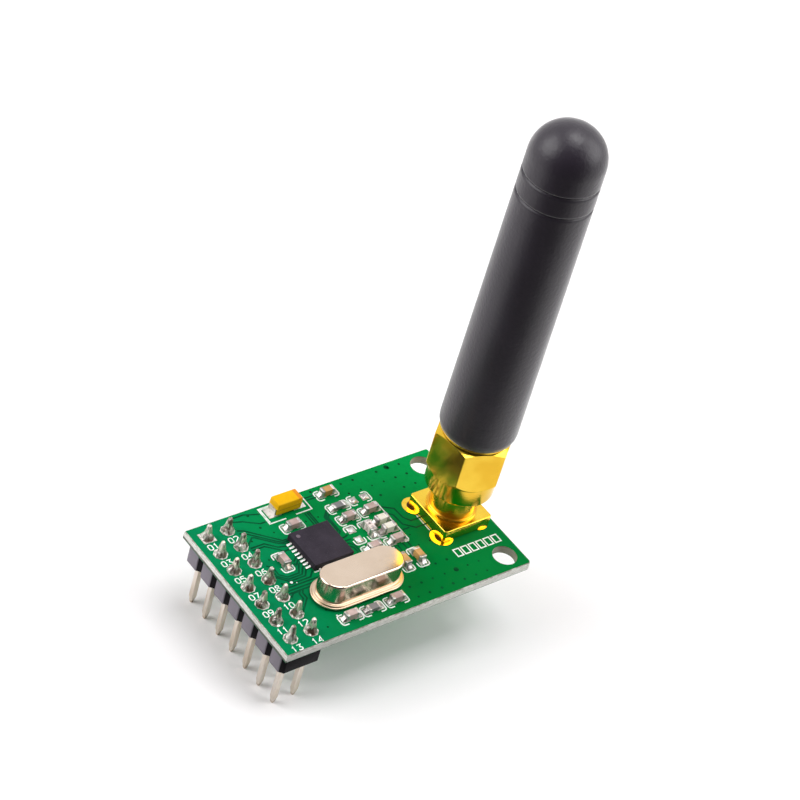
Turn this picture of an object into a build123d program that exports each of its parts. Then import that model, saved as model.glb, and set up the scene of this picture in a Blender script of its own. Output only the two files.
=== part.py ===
"""Wireless transceiver module: a small circuit board with a plug-in pin header at one end
and, at the other, a coaxial connector that carries a short screwed-on rubber antenna.

Millimetres. The origin is the middle of the pin field on the underside of the header's
plastic, the face that meets the socket. +X runs along the board towards the antenna, +Y
across it, and +Z up through the antenna.
"""

from build123d import *
from math import cos, radians, sin, sqrt
import os

# Pin header: two columns of pins that are soldered into the board from below.
pin_pitch = 2.54
pin_rows = 7
pin_width = 0.64
pin_length_below = 5.9
pin_length_above = 1.85
pin_tip_length = 0.9
pin_tip_width = 0.3
housing_height = 2.54
housing_notch_depth = 0.45
housing_notch_width = 1.0
housing_pin_clearance = 0.02

# Circuit board.
board_length = 31.9
board_width = 18.9
board_thickness = 1.0
board_corner_radius = 0.35
score_depth = 0.28
score_set_back = 0.1
header_edge_margin = 1.6
mounting_hole_diameter = 2.75
mounting_hole_end_margin = 2.15
mounting_hole_side_margin = 2.03
header_hole_diameter = 1.02
land_thickness = 0.05
header_land_diameter = 1.6
header_land_square = 1.5

# Solder cones on the header pins, and the smaller ones under the board.
header_cone_base = 1.36
header_cone_top = 0.8
header_cone_height = 1.45
underside_cone_height = 0.8
underside_cone_wall = 0.16
underside_land_width = 0.5

# Radio chip: a flat leadless package with its contacts under its four edges.
package_size = 5.0
package_height = 0.85
package_x = -4.25
package_y = 1.55
package_lead_pitch = 0.5
package_leads_per_side = 8
package_lead_width = 0.24
package_lead_length = 0.4
package_lead_thickness = 0.2
package_pad_size = 3.3
package_land_reach = 0.42

# Quartz crystal in a low metal can.
crystal_x = -3.8
crystal_edge_margin = 5.0
crystal_base_length = 11.05
crystal_base_width = 4.65
crystal_base_thickness = 0.28
crystal_standoff = 0.12
crystal_can_length = 10.0
crystal_can_width = 3.7
crystal_can_height = 2.5
crystal_can_wall = 0.22
crystal_can_top_radius = 0.45
crystal_can_foot_thickness = 0.2
crystal_can_foot_inset = 0.12
crystal_plug_height = 0.5
crystal_plug_clearance = 0.05
crystal_lead_spacing = 4.88
crystal_lead_diameter = 0.43
crystal_lead_below_board = 1.2
crystal_lead_post = 0.35
crystal_seal_diameter = 1.1
crystal_hole_diameter = 0.8
crystal_blank_length = 7.2
crystal_blank_width = 1.9
crystal_blank_thickness = 0.16

# Tantalum capacitor: a moulded block on two folded tinned straps.
tantalum_x = -4.35
tantalum_length = 3.2
tantalum_width = 1.6
tantalum_height = 1.5
tantalum_bevel = 0.16
tantalum_strap_width = 1.2
tantalum_strap_thickness = 0.12
tantalum_strap_foot = 0.8
tantalum_strap_rise = 0.75
tantalum_land_reach = 0.75

# Chip capacitors, resistors and inductors, all of one outline and three heights.
chip_length = 1.6
chip_width = 0.8
capacitor_height = 0.8
resistor_height = 0.45
inductor_height = 0.9
chip_cap_length = 0.33
chip_core_inset = 0.03
chip_land_size = 0.9
chip_land_spacing = 1.5
chip_fillet_length = 0.36
chip_fillet_height = 0.5

# The two rows of chips beside the board's long edges keep their distance from them.
far_row_margin = 1.45
near_row_margin = 1.65
beside_crystal_step = 0.7

# Coaxial connector: a square flange on four legs, and a barrel that the antenna screws on.
connector_end_margin = 4.25
flange_size = 6.4
flange_thickness = 1.5
flange_corner_radius = 0.3
leg_spacing = 5.08
leg_width = 0.95
leg_below_board = 1.2
leg_hole_diameter = 1.5
leg_land_diameter = 2.5
boss_diameter = 5.5
boss_height = 0.3
neck_diameter = 5.1
thread_diameter = 6.35
thread_length = 4.6
thread_chamfer = 0.3
connector_height = 9.4
dielectric_diameter = 4.1
dielectric_recess = 1.9
mating_bore_diameter = 4.62
contact_diameter = 1.27
contact_tail_diameter = 0.9
contact_tail_below_board = 1.2
contact_hole_diameter = 1.1
contact_land_diameter = 2.0
socket_diameter = 0.94
socket_depth = 3.2
socket_slot_width = 0.2
socket_slot_depth = 2.2

# Coupling nut, screwed down over the connector's barrel.
nut_across_flats = 7.7
nut_height = 7.95
nut_grip = 4.7
nut_turn = 38.0
nut_collar_diameter = 7.5
nut_collar_height = 2.3
nut_collar_round = 0.35
nut_lower_chamfer = 0.91
nut_upper_chamfer = 0.35
nut_lip_height = 0.25
nut_thread_clearance = 0.03

# Plug inside the nut: shell, gasket, snap ring, insulator and centre pin.
spigot_diameter = 5.9
spigot_clearance = 0.05
plug_ferrule_clearance = 0.03
plug_ferrule_wall = 0.3
gasket_thickness = 0.35
gasket_bore = 4.75
gasket_clearance = 0.05
snap_ring_height = 0.4
snap_ring_depth = 0.28
snap_ring_gap = 35.0
snap_ring_clearance = 0.04
snap_ring_level = 1.0
nut_ledge_clearance = 0.35
plug_collar_diameter = 6.7
plug_collar_height = 0.7
tail_diameter = 4.9
tail_length = 4.2
tail_rib_height = 0.22
tail_rib_length = 0.6
tail_ribs = 2
pin_diameter = 0.9
pin_reach = 2.7
pin_body_diameter = 1.27
insulator_disc_height = 0.5
insulator_disc_diameter = 5.3
contact_plate_diameter = 5.3
contact_plate_thickness = 0.4

# Radiator and sleeve: a wire coil on a plastic core inside a moulded rubber sleeve.
core_diameter = 4.0
coil_wire_diameter = 0.8
coil_pitch = 5.2
coil_turns = 5
coil_clearance = 0.02
core_above_coil = 1.2
sleeve_gap = 0.1
sleeve_foot_diameter = 7.9
sleeve_lower_diameter = 8.4
sleeve_upper_diameter = 7.86
sleeve_foot_height = 0.75
sleeve_body_height = 34.8
sleeve_bore_clearance = 0.02
sleeve_seat_clearance = 0.02
groove_width = 0.42
groove_depth = 0.2
groove_below_dome = 1.9
groove_spacing = 2.4

# Levels, from the socket face up through the board to the tip of the antenna.
board_bottom = housing_height
board_top = board_bottom + board_thickness
land_top = board_top + land_thickness
flange_top = land_top + flange_thickness
barrel_top = land_top + connector_height
dielectric_top = barrel_top - dielectric_recess
nut_bottom = barrel_top - nut_grip
nut_top = nut_bottom + nut_height
shoulder_level = barrel_top + gasket_thickness
sleeve_bottom = nut_top + sleeve_gap
tail_top = sleeve_bottom + plug_collar_height + tail_length
disc_top = tail_top + insulator_disc_height
plate_top = disc_top + contact_plate_thickness
coil_bottom = plate_top + coil_wire_diameter / 2
coil_height = coil_turns * coil_pitch
core_top = coil_bottom + coil_height + coil_wire_diameter / 2 + core_above_coil
dome_level = sleeve_bottom + sleeve_body_height

# Places along and across the board.
board_left = -pin_pitch / 2 - header_edge_margin
board_right = board_left + board_length
board_middle = (board_left + board_right) / 2
connector_x = board_right - connector_end_margin
mounting_hole_x = board_right - mounting_hole_end_margin
mounting_hole_y = board_width / 2 - mounting_hole_side_margin
pin_places = [
    ((column - 0.5) * pin_pitch, ((pin_rows - 1) / 2 - row) * pin_pitch)
    for row in range(pin_rows)
    for column in range(2)
]
leg_places = [
    (connector_x + sx * leg_spacing / 2, sy * leg_spacing / 2)
    for sx in (-1, 1)
    for sy in (-1, 1)
]
far_row = board_width / 2 - far_row_margin
near_row = -board_width / 2 + near_row_margin
crystal_y = -board_width / 2 + crystal_edge_margin
beside_crystal = crystal_y + beside_crystal_step
crystal_lead_places = [
    (board_middle + crystal_x + side * crystal_lead_spacing / 2, crystal_y)
    for side in (-1, 1)
]

# Chips by kind: place from the board's middle, and the turn of the long side from +X.
capacitors = [
    (1.15, far_row, 0),
    (-5.1, 5.35, 0),
    (1.15, 3.95, 0),
    (4.1, 4.0, 0),
    (4.1, -0.85, 0),
    (1.1, -0.8, 0),
    (-9.0, 1.45, 90),
    (2.9, beside_crystal, 90),
    (4.8, beside_crystal, 90),
    (-6.95, near_row, 0),
    (-1.1, near_row, 0),
]
resistors = [(1.15, 5.8, 0), (-4.1, near_row, 0)]
inductors = [(4.1, 2.1, 0), (4.1, 0.75, 0), (2.2, 1.6, 90)]
# Two chip outlines are left empty, as bare tinned lands.
empty_places = [(4.0, 5.95, 0), (0.4, 1.65, 90)]


def plate(outline, bottom, top):
    """The outline, raised from one level to another."""
    return Pos(0, 0, bottom) * extrude(outline, top - bottom)


def rod(diameter, bottom, top):
    """A round bar about the Z axis."""
    return plate(Circle(diameter / 2), bottom, top)


def tube(outer, inner, bottom, top):
    """A round tube about the Z axis."""
    return plate(Circle(outer / 2) - Circle(inner / 2), bottom, top)


def block(length, width, bottom, top):
    """A rectangular block that stands on one level."""
    return plate(Rectangle(length, width), bottom, top)


def turned(*points):
    """A solid of revolution about Z, from the corners of its half section."""
    return revolve(make_face(Plane.XZ * Polyline(*points, close=True)), Axis.Z)


def at_each(places, shape):
    """Copies of a shape at places across the board."""
    return [Pos(x, y, 0) * shape for x, y in places]


def at_chips(chips, *shapes):
    """Copies of a chip's pieces where each chip lies on the board."""
    return [
        Pos(board_middle + x, y, 0) * Rot(0, 0, turn) * shape
        for x, y, turn in chips
        for shape in shapes
    ]


def both_ends(shape):
    """A piece at one end of a chip, and its mirror image at the other."""
    return [shape, Rot(0, 0, 180) * shape]


def group(solids):
    """Separate solids kept in one file."""
    return Compound(children=[solid for shape in solids for solid in shape.solids()])


# Board and the copper lands on it.


def circuit_board():
    """The drilled board, with the slanted flanks of its scoring on three edges."""
    outline = Pos(board_middle, 0) * Rectangle(board_length, board_width)
    outline = fillet(outline.vertices().group_by(Axis.X)[-1], board_corner_radius)
    board = plate(outline, board_bottom, board_top)
    for face in (board.faces().sort_by(Axis.Z)[0], board.faces().sort_by(Axis.Z)[-1]):
        rim = face.edges().filter_by(GeomType.LINE)
        scored = ShapeList(rim.filter_by(Axis.X) + [rim.sort_by(Axis.X)[0]])
        board = chamfer(scored, score_set_back, score_depth, reference=face)
    mounting = rod(mounting_hole_diameter, board_bottom, board_top)
    board -= [Pos(mounting_hole_x, side * mounting_hole_y) * mounting for side in (-1, 1)]
    header_hole = Rot(0, 0, 22.5) * RegularPolygon(header_hole_diameter / 2, 8)
    board -= at_each(pin_places, plate(header_hole, board_bottom, board_top))
    board -= at_each(leg_places, rod(leg_hole_diameter, board_bottom, board_top))
    board -= at_each(
        crystal_lead_places, rod(crystal_hole_diameter, board_bottom, board_top)
    )
    return board - at_connector(rod(contact_hole_diameter, board_bottom, board_top))


def gold_lands():
    """Ring lands that the connector's flange stands on."""
    ring = tube(leg_land_diameter, leg_hole_diameter, board_top, land_top)
    return group(at_each(leg_places, ring))


def header_lands():
    """Eight-sided lands under the header's solder, with a square one at the first pin."""
    hole = Rectangle(pin_width, pin_width)
    octagon = Rot(0, 0, 22.5) * RegularPolygon(header_land_diameter / 2, 8)
    square = Rectangle(header_land_square, header_land_square)
    return group(
        at_each(pin_places[:1], plate(square - hole, board_top, land_top))
        + at_each(pin_places[1:], plate(octagon - hole, board_top, land_top))
    )


def package_contacts(inner, outer, bottom, top):
    """A row of contacts along each of the package's four edges."""
    contact = Pos((inner + outer) / 2, 0) * Rectangle(outer - inner, package_lead_width)
    contact = plate(contact, bottom, top)
    first = -(package_leads_per_side - 1) / 2 * package_lead_pitch
    return [
        Rot(0, 0, 90 * side) * Pos(0, first + package_lead_pitch * number, 0) * contact
        for side in range(4)
        for number in range(package_leads_per_side)
    ]


def at_package(shapes):
    place = Pos(board_middle + package_x, package_y, 0)
    return [place * shape for shape in shapes]


def tinned_lands():
    """Tinned lands under the surface parts, and those of the two empty places."""
    chip_land = Pos(chip_land_spacing / 2, 0) * Rectangle(chip_land_size, chip_land_size)
    chip_lands = both_ends(plate(chip_land, board_top, land_top))
    lands = at_chips(capacitors + resistors + inductors + empty_places, *chip_lands)
    strap_inner = tantalum_length / 2 - tantalum_strap_foot
    strap_outer = tantalum_length / 2 + tantalum_land_reach
    strap_land = Pos((strap_inner + strap_outer) / 2, 0) * Rectangle(
        strap_outer - strap_inner, tantalum_strap_width + 2 * tantalum_strap_thickness
    )
    strap_lands = both_ends(plate(strap_land, board_top, land_top))
    lands += at_chips([(tantalum_x, far_row, 0)], *strap_lands)
    edge = package_size / 2
    lands += at_package(
        package_contacts(
            edge - package_lead_length, edge + package_land_reach, board_top, land_top
        )
        + [block(package_pad_size, package_pad_size, board_top, land_top)]
    )
    return group(lands)


def underside_land(wire, diameter):
    """An eight-sided land on the board's underside, round the wire that it joins."""
    outline = Rot(0, 0, 22.5) * RegularPolygon(diameter / 2, 8) - wire
    return plate(outline, board_bottom - land_thickness, board_bottom)


def underside_lands():
    """Lands under the board for the connector's and the crystal's joints."""
    leg_land = underside_land(Rectangle(leg_width, leg_width), leg_land_diameter)
    tail = Circle(contact_tail_diameter / 2)
    lead = Circle(crystal_lead_diameter / 2)
    crystal_land = crystal_hole_diameter + 2 * underside_land_width
    return group(
        at_each(leg_places, leg_land)
        + [at_connector(underside_land(tail, contact_land_diameter))]
        + at_each(crystal_lead_places, underside_land(lead, crystal_land))
    )


# Pin header.


def header_housing():
    """One moulding with a square hole for each pin and a notch between the rows."""
    width = 2 * pin_pitch
    length = pin_rows * pin_pitch
    outline = Rectangle(width, length)
    notch = Polygon(
        (0, housing_notch_width / 2),
        (-housing_notch_depth, 0),
        (0, -housing_notch_width / 2),
        align=None,
    )
    for side in (0, 180):
        for row in range(pin_rows + 1):
            y = (row - pin_rows / 2) * pin_pitch
            outline -= Rot(0, 0, side) * Pos(width / 2, y) * notch
    hole_width = pin_width + 2 * housing_pin_clearance
    for x, y in pin_places:
        outline -= Pos(x, y) * Rectangle(hole_width, hole_width)
    return plate(outline, 0, housing_height)


def header_pin():
    """A square pin with a tapered tip at both ends."""
    top = board_top + pin_length_above
    shank = Rectangle(pin_width, pin_width)
    tip = Rectangle(pin_tip_width, pin_tip_width)
    levels = [
        Pos(0, 0, -pin_length_below) * tip,
        Pos(0, 0, pin_tip_length - pin_length_below) * shank,
        Pos(0, 0, top - pin_tip_length) * shank,
        Pos(0, 0, top) * tip,
    ]
    return loft(levels, ruled=True)


def header_pins():
    return group(at_each(pin_places, header_pin()))


def solder_cone(base, top, low, high):
    """A joint of solder, as an eight-sided cone."""
    outline = Rot(0, 0, 22.5) * RegularPolygon(base / 2, 8)
    crown = Rot(0, 0, 22.5) * RegularPolygon(top / 2, 8)
    return loft([Pos(0, 0, low) * outline, Pos(0, 0, high) * crown], ruled=True)


def header_solder():
    high = land_top + header_cone_height
    cone = solder_cone(header_cone_base, header_cone_top, land_top, high)
    return group(at_each(pin_places, cone - header_pin()))


def underside_joint(wire, wire_size, land_size):
    """A solder cone that hangs under the board around a leg, tail or lead."""
    high = board_bottom - land_thickness
    low = high - underside_cone_height
    narrow = wire_size + 2 * underside_cone_wall
    return solder_cone(narrow, land_size, low, high) - plate(wire, low, high)


# Radio chip.


def package_leads():
    edge = package_size / 2
    top = land_top + package_lead_thickness
    pad = block(package_pad_size, package_pad_size, land_top, top)
    return group(
        at_package(
            package_contacts(edge - package_lead_length, edge, land_top, top) + [pad]
        )
    )


def package_body():
    """The moulded body, with a pocket for each contact and a dimple at pin one."""
    body = block(package_size, package_size, land_top, land_top + package_height)
    dimple_place = package_size / 2 - 2 * package_lead_pitch
    dimple_depth = package_lead_thickness / 4
    top = land_top + package_height
    body -= Pos(-dimple_place, dimple_place) * rod(
        package_lead_pitch, top - dimple_depth, top
    )
    return at_package([body])[0] - package_leads().solids()


# Crystal.

crystal_base_bottom = land_top + crystal_standoff
crystal_base_top = crystal_base_bottom + crystal_base_thickness
crystal_foot_top = crystal_base_top + crystal_can_foot_thickness
crystal_can_top = crystal_base_top + crystal_can_height
crystal_plug_top = crystal_base_top + crystal_plug_height
crystal_post_top = crystal_plug_top + crystal_lead_post


def at_crystal(shape):
    return Pos(board_middle + crystal_x, crystal_y, 0) * shape


def crystal_lead_pair(shape):
    return [Pos(side * crystal_lead_spacing / 2, 0, 0) * shape for side in (-1, 1)]


def crystal_base():
    """A rounded plate with a plug that fills the foot of the can."""
    foot = plate(
        SlotOverall(crystal_base_length, crystal_base_width),
        crystal_base_bottom,
        crystal_base_top,
    )
    shrink = 2 * (crystal_can_wall + crystal_plug_clearance)
    plug = SlotOverall(crystal_can_length - shrink, crystal_can_width - shrink)
    base = foot + plate(plug, crystal_base_top, crystal_plug_top)
    seal = rod(crystal_seal_diameter, crystal_base_bottom, crystal_plug_top)
    return at_crystal(base - crystal_lead_pair(seal))


def crystal_can():
    """A drawn can, open below, with a flat foot welded to the base."""
    outer = plate(
        SlotOverall(crystal_can_length, crystal_can_width),
        crystal_base_top,
        crystal_can_top,
    )
    outer = fillet(outer.edges().group_by(Axis.Z)[-1], crystal_can_top_radius)
    foot_inset = 2 * crystal_can_foot_inset
    foot = SlotOverall(crystal_base_length - foot_inset, crystal_base_width - foot_inset)
    shrink = 2 * crystal_can_wall
    inner = SlotOverall(crystal_can_length - shrink, crystal_can_width - shrink)
    can = outer + plate(foot, crystal_base_top, crystal_foot_top)
    return at_crystal(
        can - plate(inner, crystal_base_top, crystal_can_top - crystal_can_wall)
    )


def crystal_seals():
    """Glass beads that hold the leads in the base."""
    seal = tube(
        crystal_seal_diameter,
        crystal_lead_diameter,
        crystal_base_bottom,
        crystal_plug_top,
    )
    return group([at_crystal(bead) for bead in crystal_lead_pair(seal)])


def crystal_leads():
    lead = rod(
        crystal_lead_diameter, board_bottom - crystal_lead_below_board, crystal_post_top
    )
    return group([at_crystal(wire) for wire in crystal_lead_pair(lead)])


def crystal_blank():
    """The quartz strip on top of the two lead posts."""
    top = crystal_post_top + crystal_blank_thickness
    return at_crystal(
        block(crystal_blank_length, crystal_blank_width, crystal_post_top, top)
    )


def crystal_solder():
    joint = underside_joint(
        Circle(crystal_lead_diameter / 2),
        crystal_lead_diameter,
        crystal_hole_diameter + underside_land_width,
    )
    return group(at_each(crystal_lead_places, joint))


# Tantalum capacitor.


def tantalum_straps():
    """Each strap leaves the case halfway up its end and folds back underneath."""
    end = tantalum_length / 2
    foot_top = land_top + tantalum_strap_thickness
    foot = Pos(end - tantalum_strap_foot / 2, 0) * block(
        tantalum_strap_foot, tantalum_strap_width, land_top, foot_top
    )
    rise = Pos(end + tantalum_strap_thickness / 2, 0) * block(
        tantalum_strap_thickness,
        tantalum_strap_width,
        land_top,
        foot_top + tantalum_strap_rise,
    )
    return group(at_chips([(tantalum_x, far_row, 0)], *both_ends(foot + rise)))


def tantalum_case():
    """The moulded case, bevelled round its top, on the feet of its straps."""
    bottom = land_top + tantalum_strap_thickness
    case = block(tantalum_length, tantalum_width, bottom, bottom + tantalum_height)
    case = chamfer(case.edges().group_by(Axis.Z)[-1], tantalum_bevel)
    return at_chips([(tantalum_x, far_row, 0)], case)[0]


# Chip capacitors, resistors and inductors.


def chip_core(height, chip):
    """The ceramic between the two end caps of one chip."""
    core = block(
        chip_length - 2 * chip_cap_length,
        chip_width - 2 * chip_core_inset,
        land_top + chip_core_inset,
        land_top + height - chip_core_inset,
    )
    return at_chips([chip], core)[0]


def chip_caps(height, chips):
    """The tinned end caps of all chips of one kind."""
    cap = Pos((chip_length - chip_cap_length) / 2, 0, 0) * block(
        chip_cap_length, chip_width, land_top, land_top + height
    )
    return group(at_chips(chips, *both_ends(cap)))


def chip_solder():
    """A wedge of solder from each land up to its chip's end."""
    joints = []
    start = chip_length / 2
    reach = start + chip_fillet_length
    width = chip_width - 4 * chip_core_inset
    for height, chips in (
        (capacitor_height, capacitors),
        (resistor_height, resistors),
        (inductor_height, inductors),
    ):
        rise = land_top + min(chip_fillet_height, height - 3 * chip_core_inset)
        side = Polygon((start, land_top), (reach, land_top), (start, rise), align=None)
        joint = extrude(Plane.XZ * side, width / 2, both=True)
        joints += at_chips(chips, *both_ends(joint))
    return group(joints)


# Coaxial connector.


def at_connector(shape):
    return Pos(connector_x, 0, 0) * shape


def connector_body():
    """Flange and legs, a plain neck, and the barrel with room for the plug's ferrule."""
    flange = RectangleRounded(flange_size, flange_size, flange_corner_radius)
    body = plate(flange, land_top, flange_top)
    body += rod(boss_diameter, flange_top, flange_top + boss_height)
    thread_bottom = barrel_top - thread_length
    body += rod(neck_diameter, flange_top, thread_bottom)
    threaded = rod(thread_diameter, thread_bottom, barrel_top)
    body += chamfer(threaded.edges().filter_by(GeomType.CIRCLE), thread_chamfer)
    leg = block(leg_width, leg_width, board_bottom - leg_below_board, land_top)
    for sx in (-1, 1):
        for sy in (-1, 1):
            body += Pos(sx * leg_spacing / 2, sy * leg_spacing / 2) * leg
    body -= rod(dielectric_diameter, land_top, dielectric_top)
    body -= rod(mating_bore_diameter, dielectric_top, barrel_top)
    return at_connector(body)


def connector_insulator():
    return at_connector(
        tube(dielectric_diameter, contact_diameter, land_top, dielectric_top)
    )


def connector_contact():
    """The centre contact, a slotted socket above and a solder tail below."""
    contact = rod(contact_diameter, land_top, dielectric_top)
    contact -= rod(socket_diameter, dielectric_top - socket_depth, dielectric_top)
    slot_bottom = dielectric_top - socket_slot_depth
    slot = block(contact_diameter, socket_slot_width, slot_bottom, dielectric_top)
    contact -= [slot, Rot(0, 0, 90) * slot]
    tail_bottom = board_bottom - contact_tail_below_board
    return at_connector(contact + rod(contact_tail_diameter, tail_bottom, land_top))


def connector_solder():
    leg_joint = underside_joint(
        Rectangle(leg_width, leg_width), leg_width * sqrt(2), leg_land_diameter
    )
    tail_joint = underside_joint(
        Circle(contact_tail_diameter / 2), contact_tail_diameter, contact_land_diameter
    )
    return group(at_each(leg_places, leg_joint) + [at_connector(tail_joint)])


# Coupling nut and the plug inside it.

snap_ring_bottom = shoulder_level + snap_ring_level
snap_ring_top = snap_ring_bottom + snap_ring_height
nut_bore = thread_diameter + 2 * nut_thread_clearance
lip_bore = spigot_diameter + 2 * spigot_clearance
ledge_level = shoulder_level + nut_ledge_clearance
ferrule_diameter = mating_bore_diameter - 2 * plug_ferrule_clearance
plug_bore = ferrule_diameter - 2 * plug_ferrule_wall


def snap_ring_groove(inner, outer):
    return tube(
        outer,
        inner,
        snap_ring_bottom - snap_ring_clearance,
        snap_ring_top + snap_ring_clearance,
    )


def coupling_nut():
    """A hexagon turned down to a round collar below and a round lip above."""
    corner = nut_across_flats / sqrt(3)
    collar = nut_collar_diameter / 2
    collar_top = nut_bottom + nut_collar_height
    lip_bottom = nut_top - nut_lip_height
    rounded = collar - nut_collar_round
    turning = turned(
        (0, nut_bottom),
        (rounded, nut_bottom),
        (collar, nut_bottom + nut_collar_round),
        (collar, collar_top),
        (corner, collar_top + nut_lower_chamfer),
        (corner, lip_bottom - nut_upper_chamfer),
        (collar, lip_bottom),
        (collar, nut_top),
        (0, nut_top),
    )
    hexagon = RegularPolygon(nut_across_flats / 2, 6, major_radius=False)
    nut = turning & plate(Rot(0, 0, nut_turn) * hexagon, nut_bottom, nut_top)
    nut -= rod(nut_bore, nut_bottom, ledge_level)
    nut -= rod(lip_bore, ledge_level, nut_top)
    nut -= snap_ring_groove(
        spigot_diameter - snap_ring_depth, lip_bore + 2 * snap_ring_depth
    )
    return at_connector(nut)


def snap_ring():
    """An open spring ring, half in the plug's groove and half in the nut's."""
    outer = lip_bore + 2 * snap_ring_depth - 2 * snap_ring_clearance
    inner = spigot_diameter - 2 * snap_ring_depth + 2 * snap_ring_clearance
    ring = tube(outer, inner, snap_ring_bottom, snap_ring_top)
    reach = lip_bore
    half = radians(snap_ring_gap / 2)
    gap = Polygon(
        (0, 0),
        (reach * cos(half), reach * sin(half)),
        (reach * cos(half), -reach * sin(half)),
        align=None,
    )
    return at_connector(ring - plate(gap, snap_ring_bottom, snap_ring_top))


def gasket():
    """A flat seal between the connector's end and the plug's shoulder."""
    outer = nut_bore - 2 * gasket_clearance
    return at_connector(tube(outer, gasket_bore, barrel_top, shoulder_level))


def plug_shell():
    """Ferrule, spigot, collar and ribbed tail, turned from one bar."""
    ferrule = ferrule_diameter / 2
    spigot = spigot_diameter / 2
    collar = plug_collar_diameter / 2
    tail = tail_diameter / 2
    collar_top = sleeve_bottom + plug_collar_height
    shell = turned(
        (plug_bore / 2, dielectric_top),
        (ferrule, dielectric_top),
        (ferrule, shoulder_level),
        (spigot, shoulder_level),
        (spigot, sleeve_bottom),
        (collar, sleeve_bottom),
        (collar, collar_top),
        (tail, collar_top),
        (tail, tail_top),
        (plug_bore / 2, tail_top),
    )
    rib_step = tail_length / tail_ribs
    for number in range(tail_ribs):
        low = collar_top + rib_step * (number + 0.5)
        shell += turned(
            (plug_bore / 2, low - tail_rib_length / 2),
            (tail + tail_rib_height, low - tail_rib_length / 2),
            (tail, low + tail_rib_length / 2),
            (plug_bore / 2, low + tail_rib_length / 2),
        )
    shell -= snap_ring_groove(spigot_diameter - 2 * snap_ring_depth, lip_bore)
    return at_connector(shell)


def plug_insulator():
    """The white insulator of the plug, with a disc that keeps the coil off the shell."""
    insulator = tube(plug_bore, pin_body_diameter, dielectric_top, tail_top)
    insulator += tube(
        insulator_disc_diameter, pin_body_diameter, tail_top, disc_top
    )
    return at_connector(insulator)


def plug_pin():
    """The centre pin, pointed where it enters the socket, with the coil's plate on top."""
    half = pin_diameter / 2
    point = pin_diameter
    return at_connector(
        turned(
            (0, dielectric_top - pin_reach),
            (half / 2, dielectric_top - pin_reach),
            (half, dielectric_top - pin_reach + point / 2),
            (half, dielectric_top),
            (pin_body_diameter / 2, dielectric_top),
            (pin_body_diameter / 2, disc_top),
            (contact_plate_diameter / 2, disc_top),
            (contact_plate_diameter / 2, plate_top),
            (0, plate_top),
        )
    )


# Radiator and sleeve.

coil_radius = core_diameter / 2 + coil_clearance + coil_wire_diameter / 2
sleeve_bore = 2 * coil_radius + coil_wire_diameter + 2 * sleeve_bore_clearance


def coil_core():
    return at_connector(rod(core_diameter, plate_top, core_top))


def antenna_coil():
    """A four-sided wire wound round the core, standing on the pin's plate."""
    path = Helix(coil_pitch, coil_height, coil_radius, center=(0, 0, coil_bottom))
    section = Plane(path @ 0, z_dir=path % 0) * RegularPolygon(coil_wire_diameter / 2, 4)
    return at_connector(sweep(section, path, is_frenet=True))


def sleeve_radius(level):
    """The sleeve tapers evenly from its foot to the start of its dome."""
    share = (level - sleeve_bottom) / sleeve_body_height
    return (
        sleeve_lower_diameter + share * (sleeve_upper_diameter - sleeve_lower_diameter)
    ) / 2


def antenna_sleeve():
    """The moulded rubber, closed by a dome, with two grooves below it."""
    foot_top = sleeve_bottom + sleeve_foot_height
    side = [
        (0, sleeve_bottom),
        (sleeve_foot_diameter / 2, sleeve_bottom),
        (sleeve_radius(foot_top), foot_top),
    ]
    for number in (1, 0):
        level = dome_level - groove_below_dome - groove_spacing * number
        low = level - groove_width / 2
        high = level + groove_width / 2
        side += [
            (sleeve_radius(low), low),
            (sleeve_radius(level) - groove_depth, level),
            (sleeve_radius(high), high),
        ]
    dome = sleeve_upper_diameter / 2
    tip = (0, dome_level + dome)
    slant = dome * cos(radians(45))
    outline = Curve() + [
        Polyline(*side, (dome, dome_level)),
        ThreePointArc((dome, dome_level), (slant, dome_level + slant), tip),
        Line(tip, (0, sleeve_bottom)),
    ]
    sleeve = revolve(make_face(Plane.XZ * outline), Axis.Z)
    collar_top = sleeve_bottom + plug_collar_height
    collar_bore = plug_collar_diameter + 2 * sleeve_seat_clearance
    sleeve -= rod(collar_bore, sleeve_bottom, collar_top)
    sleeve -= rod(sleeve_bore, collar_top, core_top)
    return at_connector(sleeve)


nodes = {
    "circuit_board": circuit_board,
    "gold_lands": gold_lands,
    "header_lands": header_lands,
    "tinned_lands": tinned_lands,
    "underside_lands": underside_lands,
    "header_housing": header_housing,
    "header_pins": header_pins,
    "header_solder": header_solder,
    "radio_chip_body": package_body,
    "radio_chip_leads": package_leads,
    "crystal_base": crystal_base,
    "crystal_can": crystal_can,
    "crystal_seals": crystal_seals,
    "crystal_leads": crystal_leads,
    "crystal_blank": crystal_blank,
    "crystal_solder": crystal_solder,
    "tantalum_case": tantalum_case,
    "tantalum_straps": tantalum_straps,
    "capacitor_caps": lambda: chip_caps(capacitor_height, capacitors),
    "resistor_caps": lambda: chip_caps(resistor_height, resistors),
    "inductor_caps": lambda: chip_caps(inductor_height, inductors),
    "chip_solder": chip_solder,
    "connector_body": connector_body,
    "connector_insulator": connector_insulator,
    "connector_contact": connector_contact,
    "connector_solder": connector_solder,
    "coupling_nut": coupling_nut,
    "snap_ring": snap_ring,
    "gasket": gasket,
    "plug_shell": plug_shell,
    "plug_insulator": plug_insulator,
    "plug_pin": plug_pin,
    "coil_core": coil_core,
    "antenna_coil": antenna_coil,
    "antenna_sleeve": antenna_sleeve,
}

os.makedirs("parts", exist_ok=True)
for name, make in nodes.items():
    export_step(make(), f"parts/{name}.step")
for kind, height, chips in (
    ("capacitor", capacitor_height, capacitors),
    ("resistor", resistor_height, resistors),
    ("inductor", inductor_height, inductors),
):
    for number, chip in enumerate(chips, 1):
        export_step(chip_core(height, chip), f"parts/{kind}_{number:02d}.step")
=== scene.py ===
from math import cos, pi, radians, sin

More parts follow.
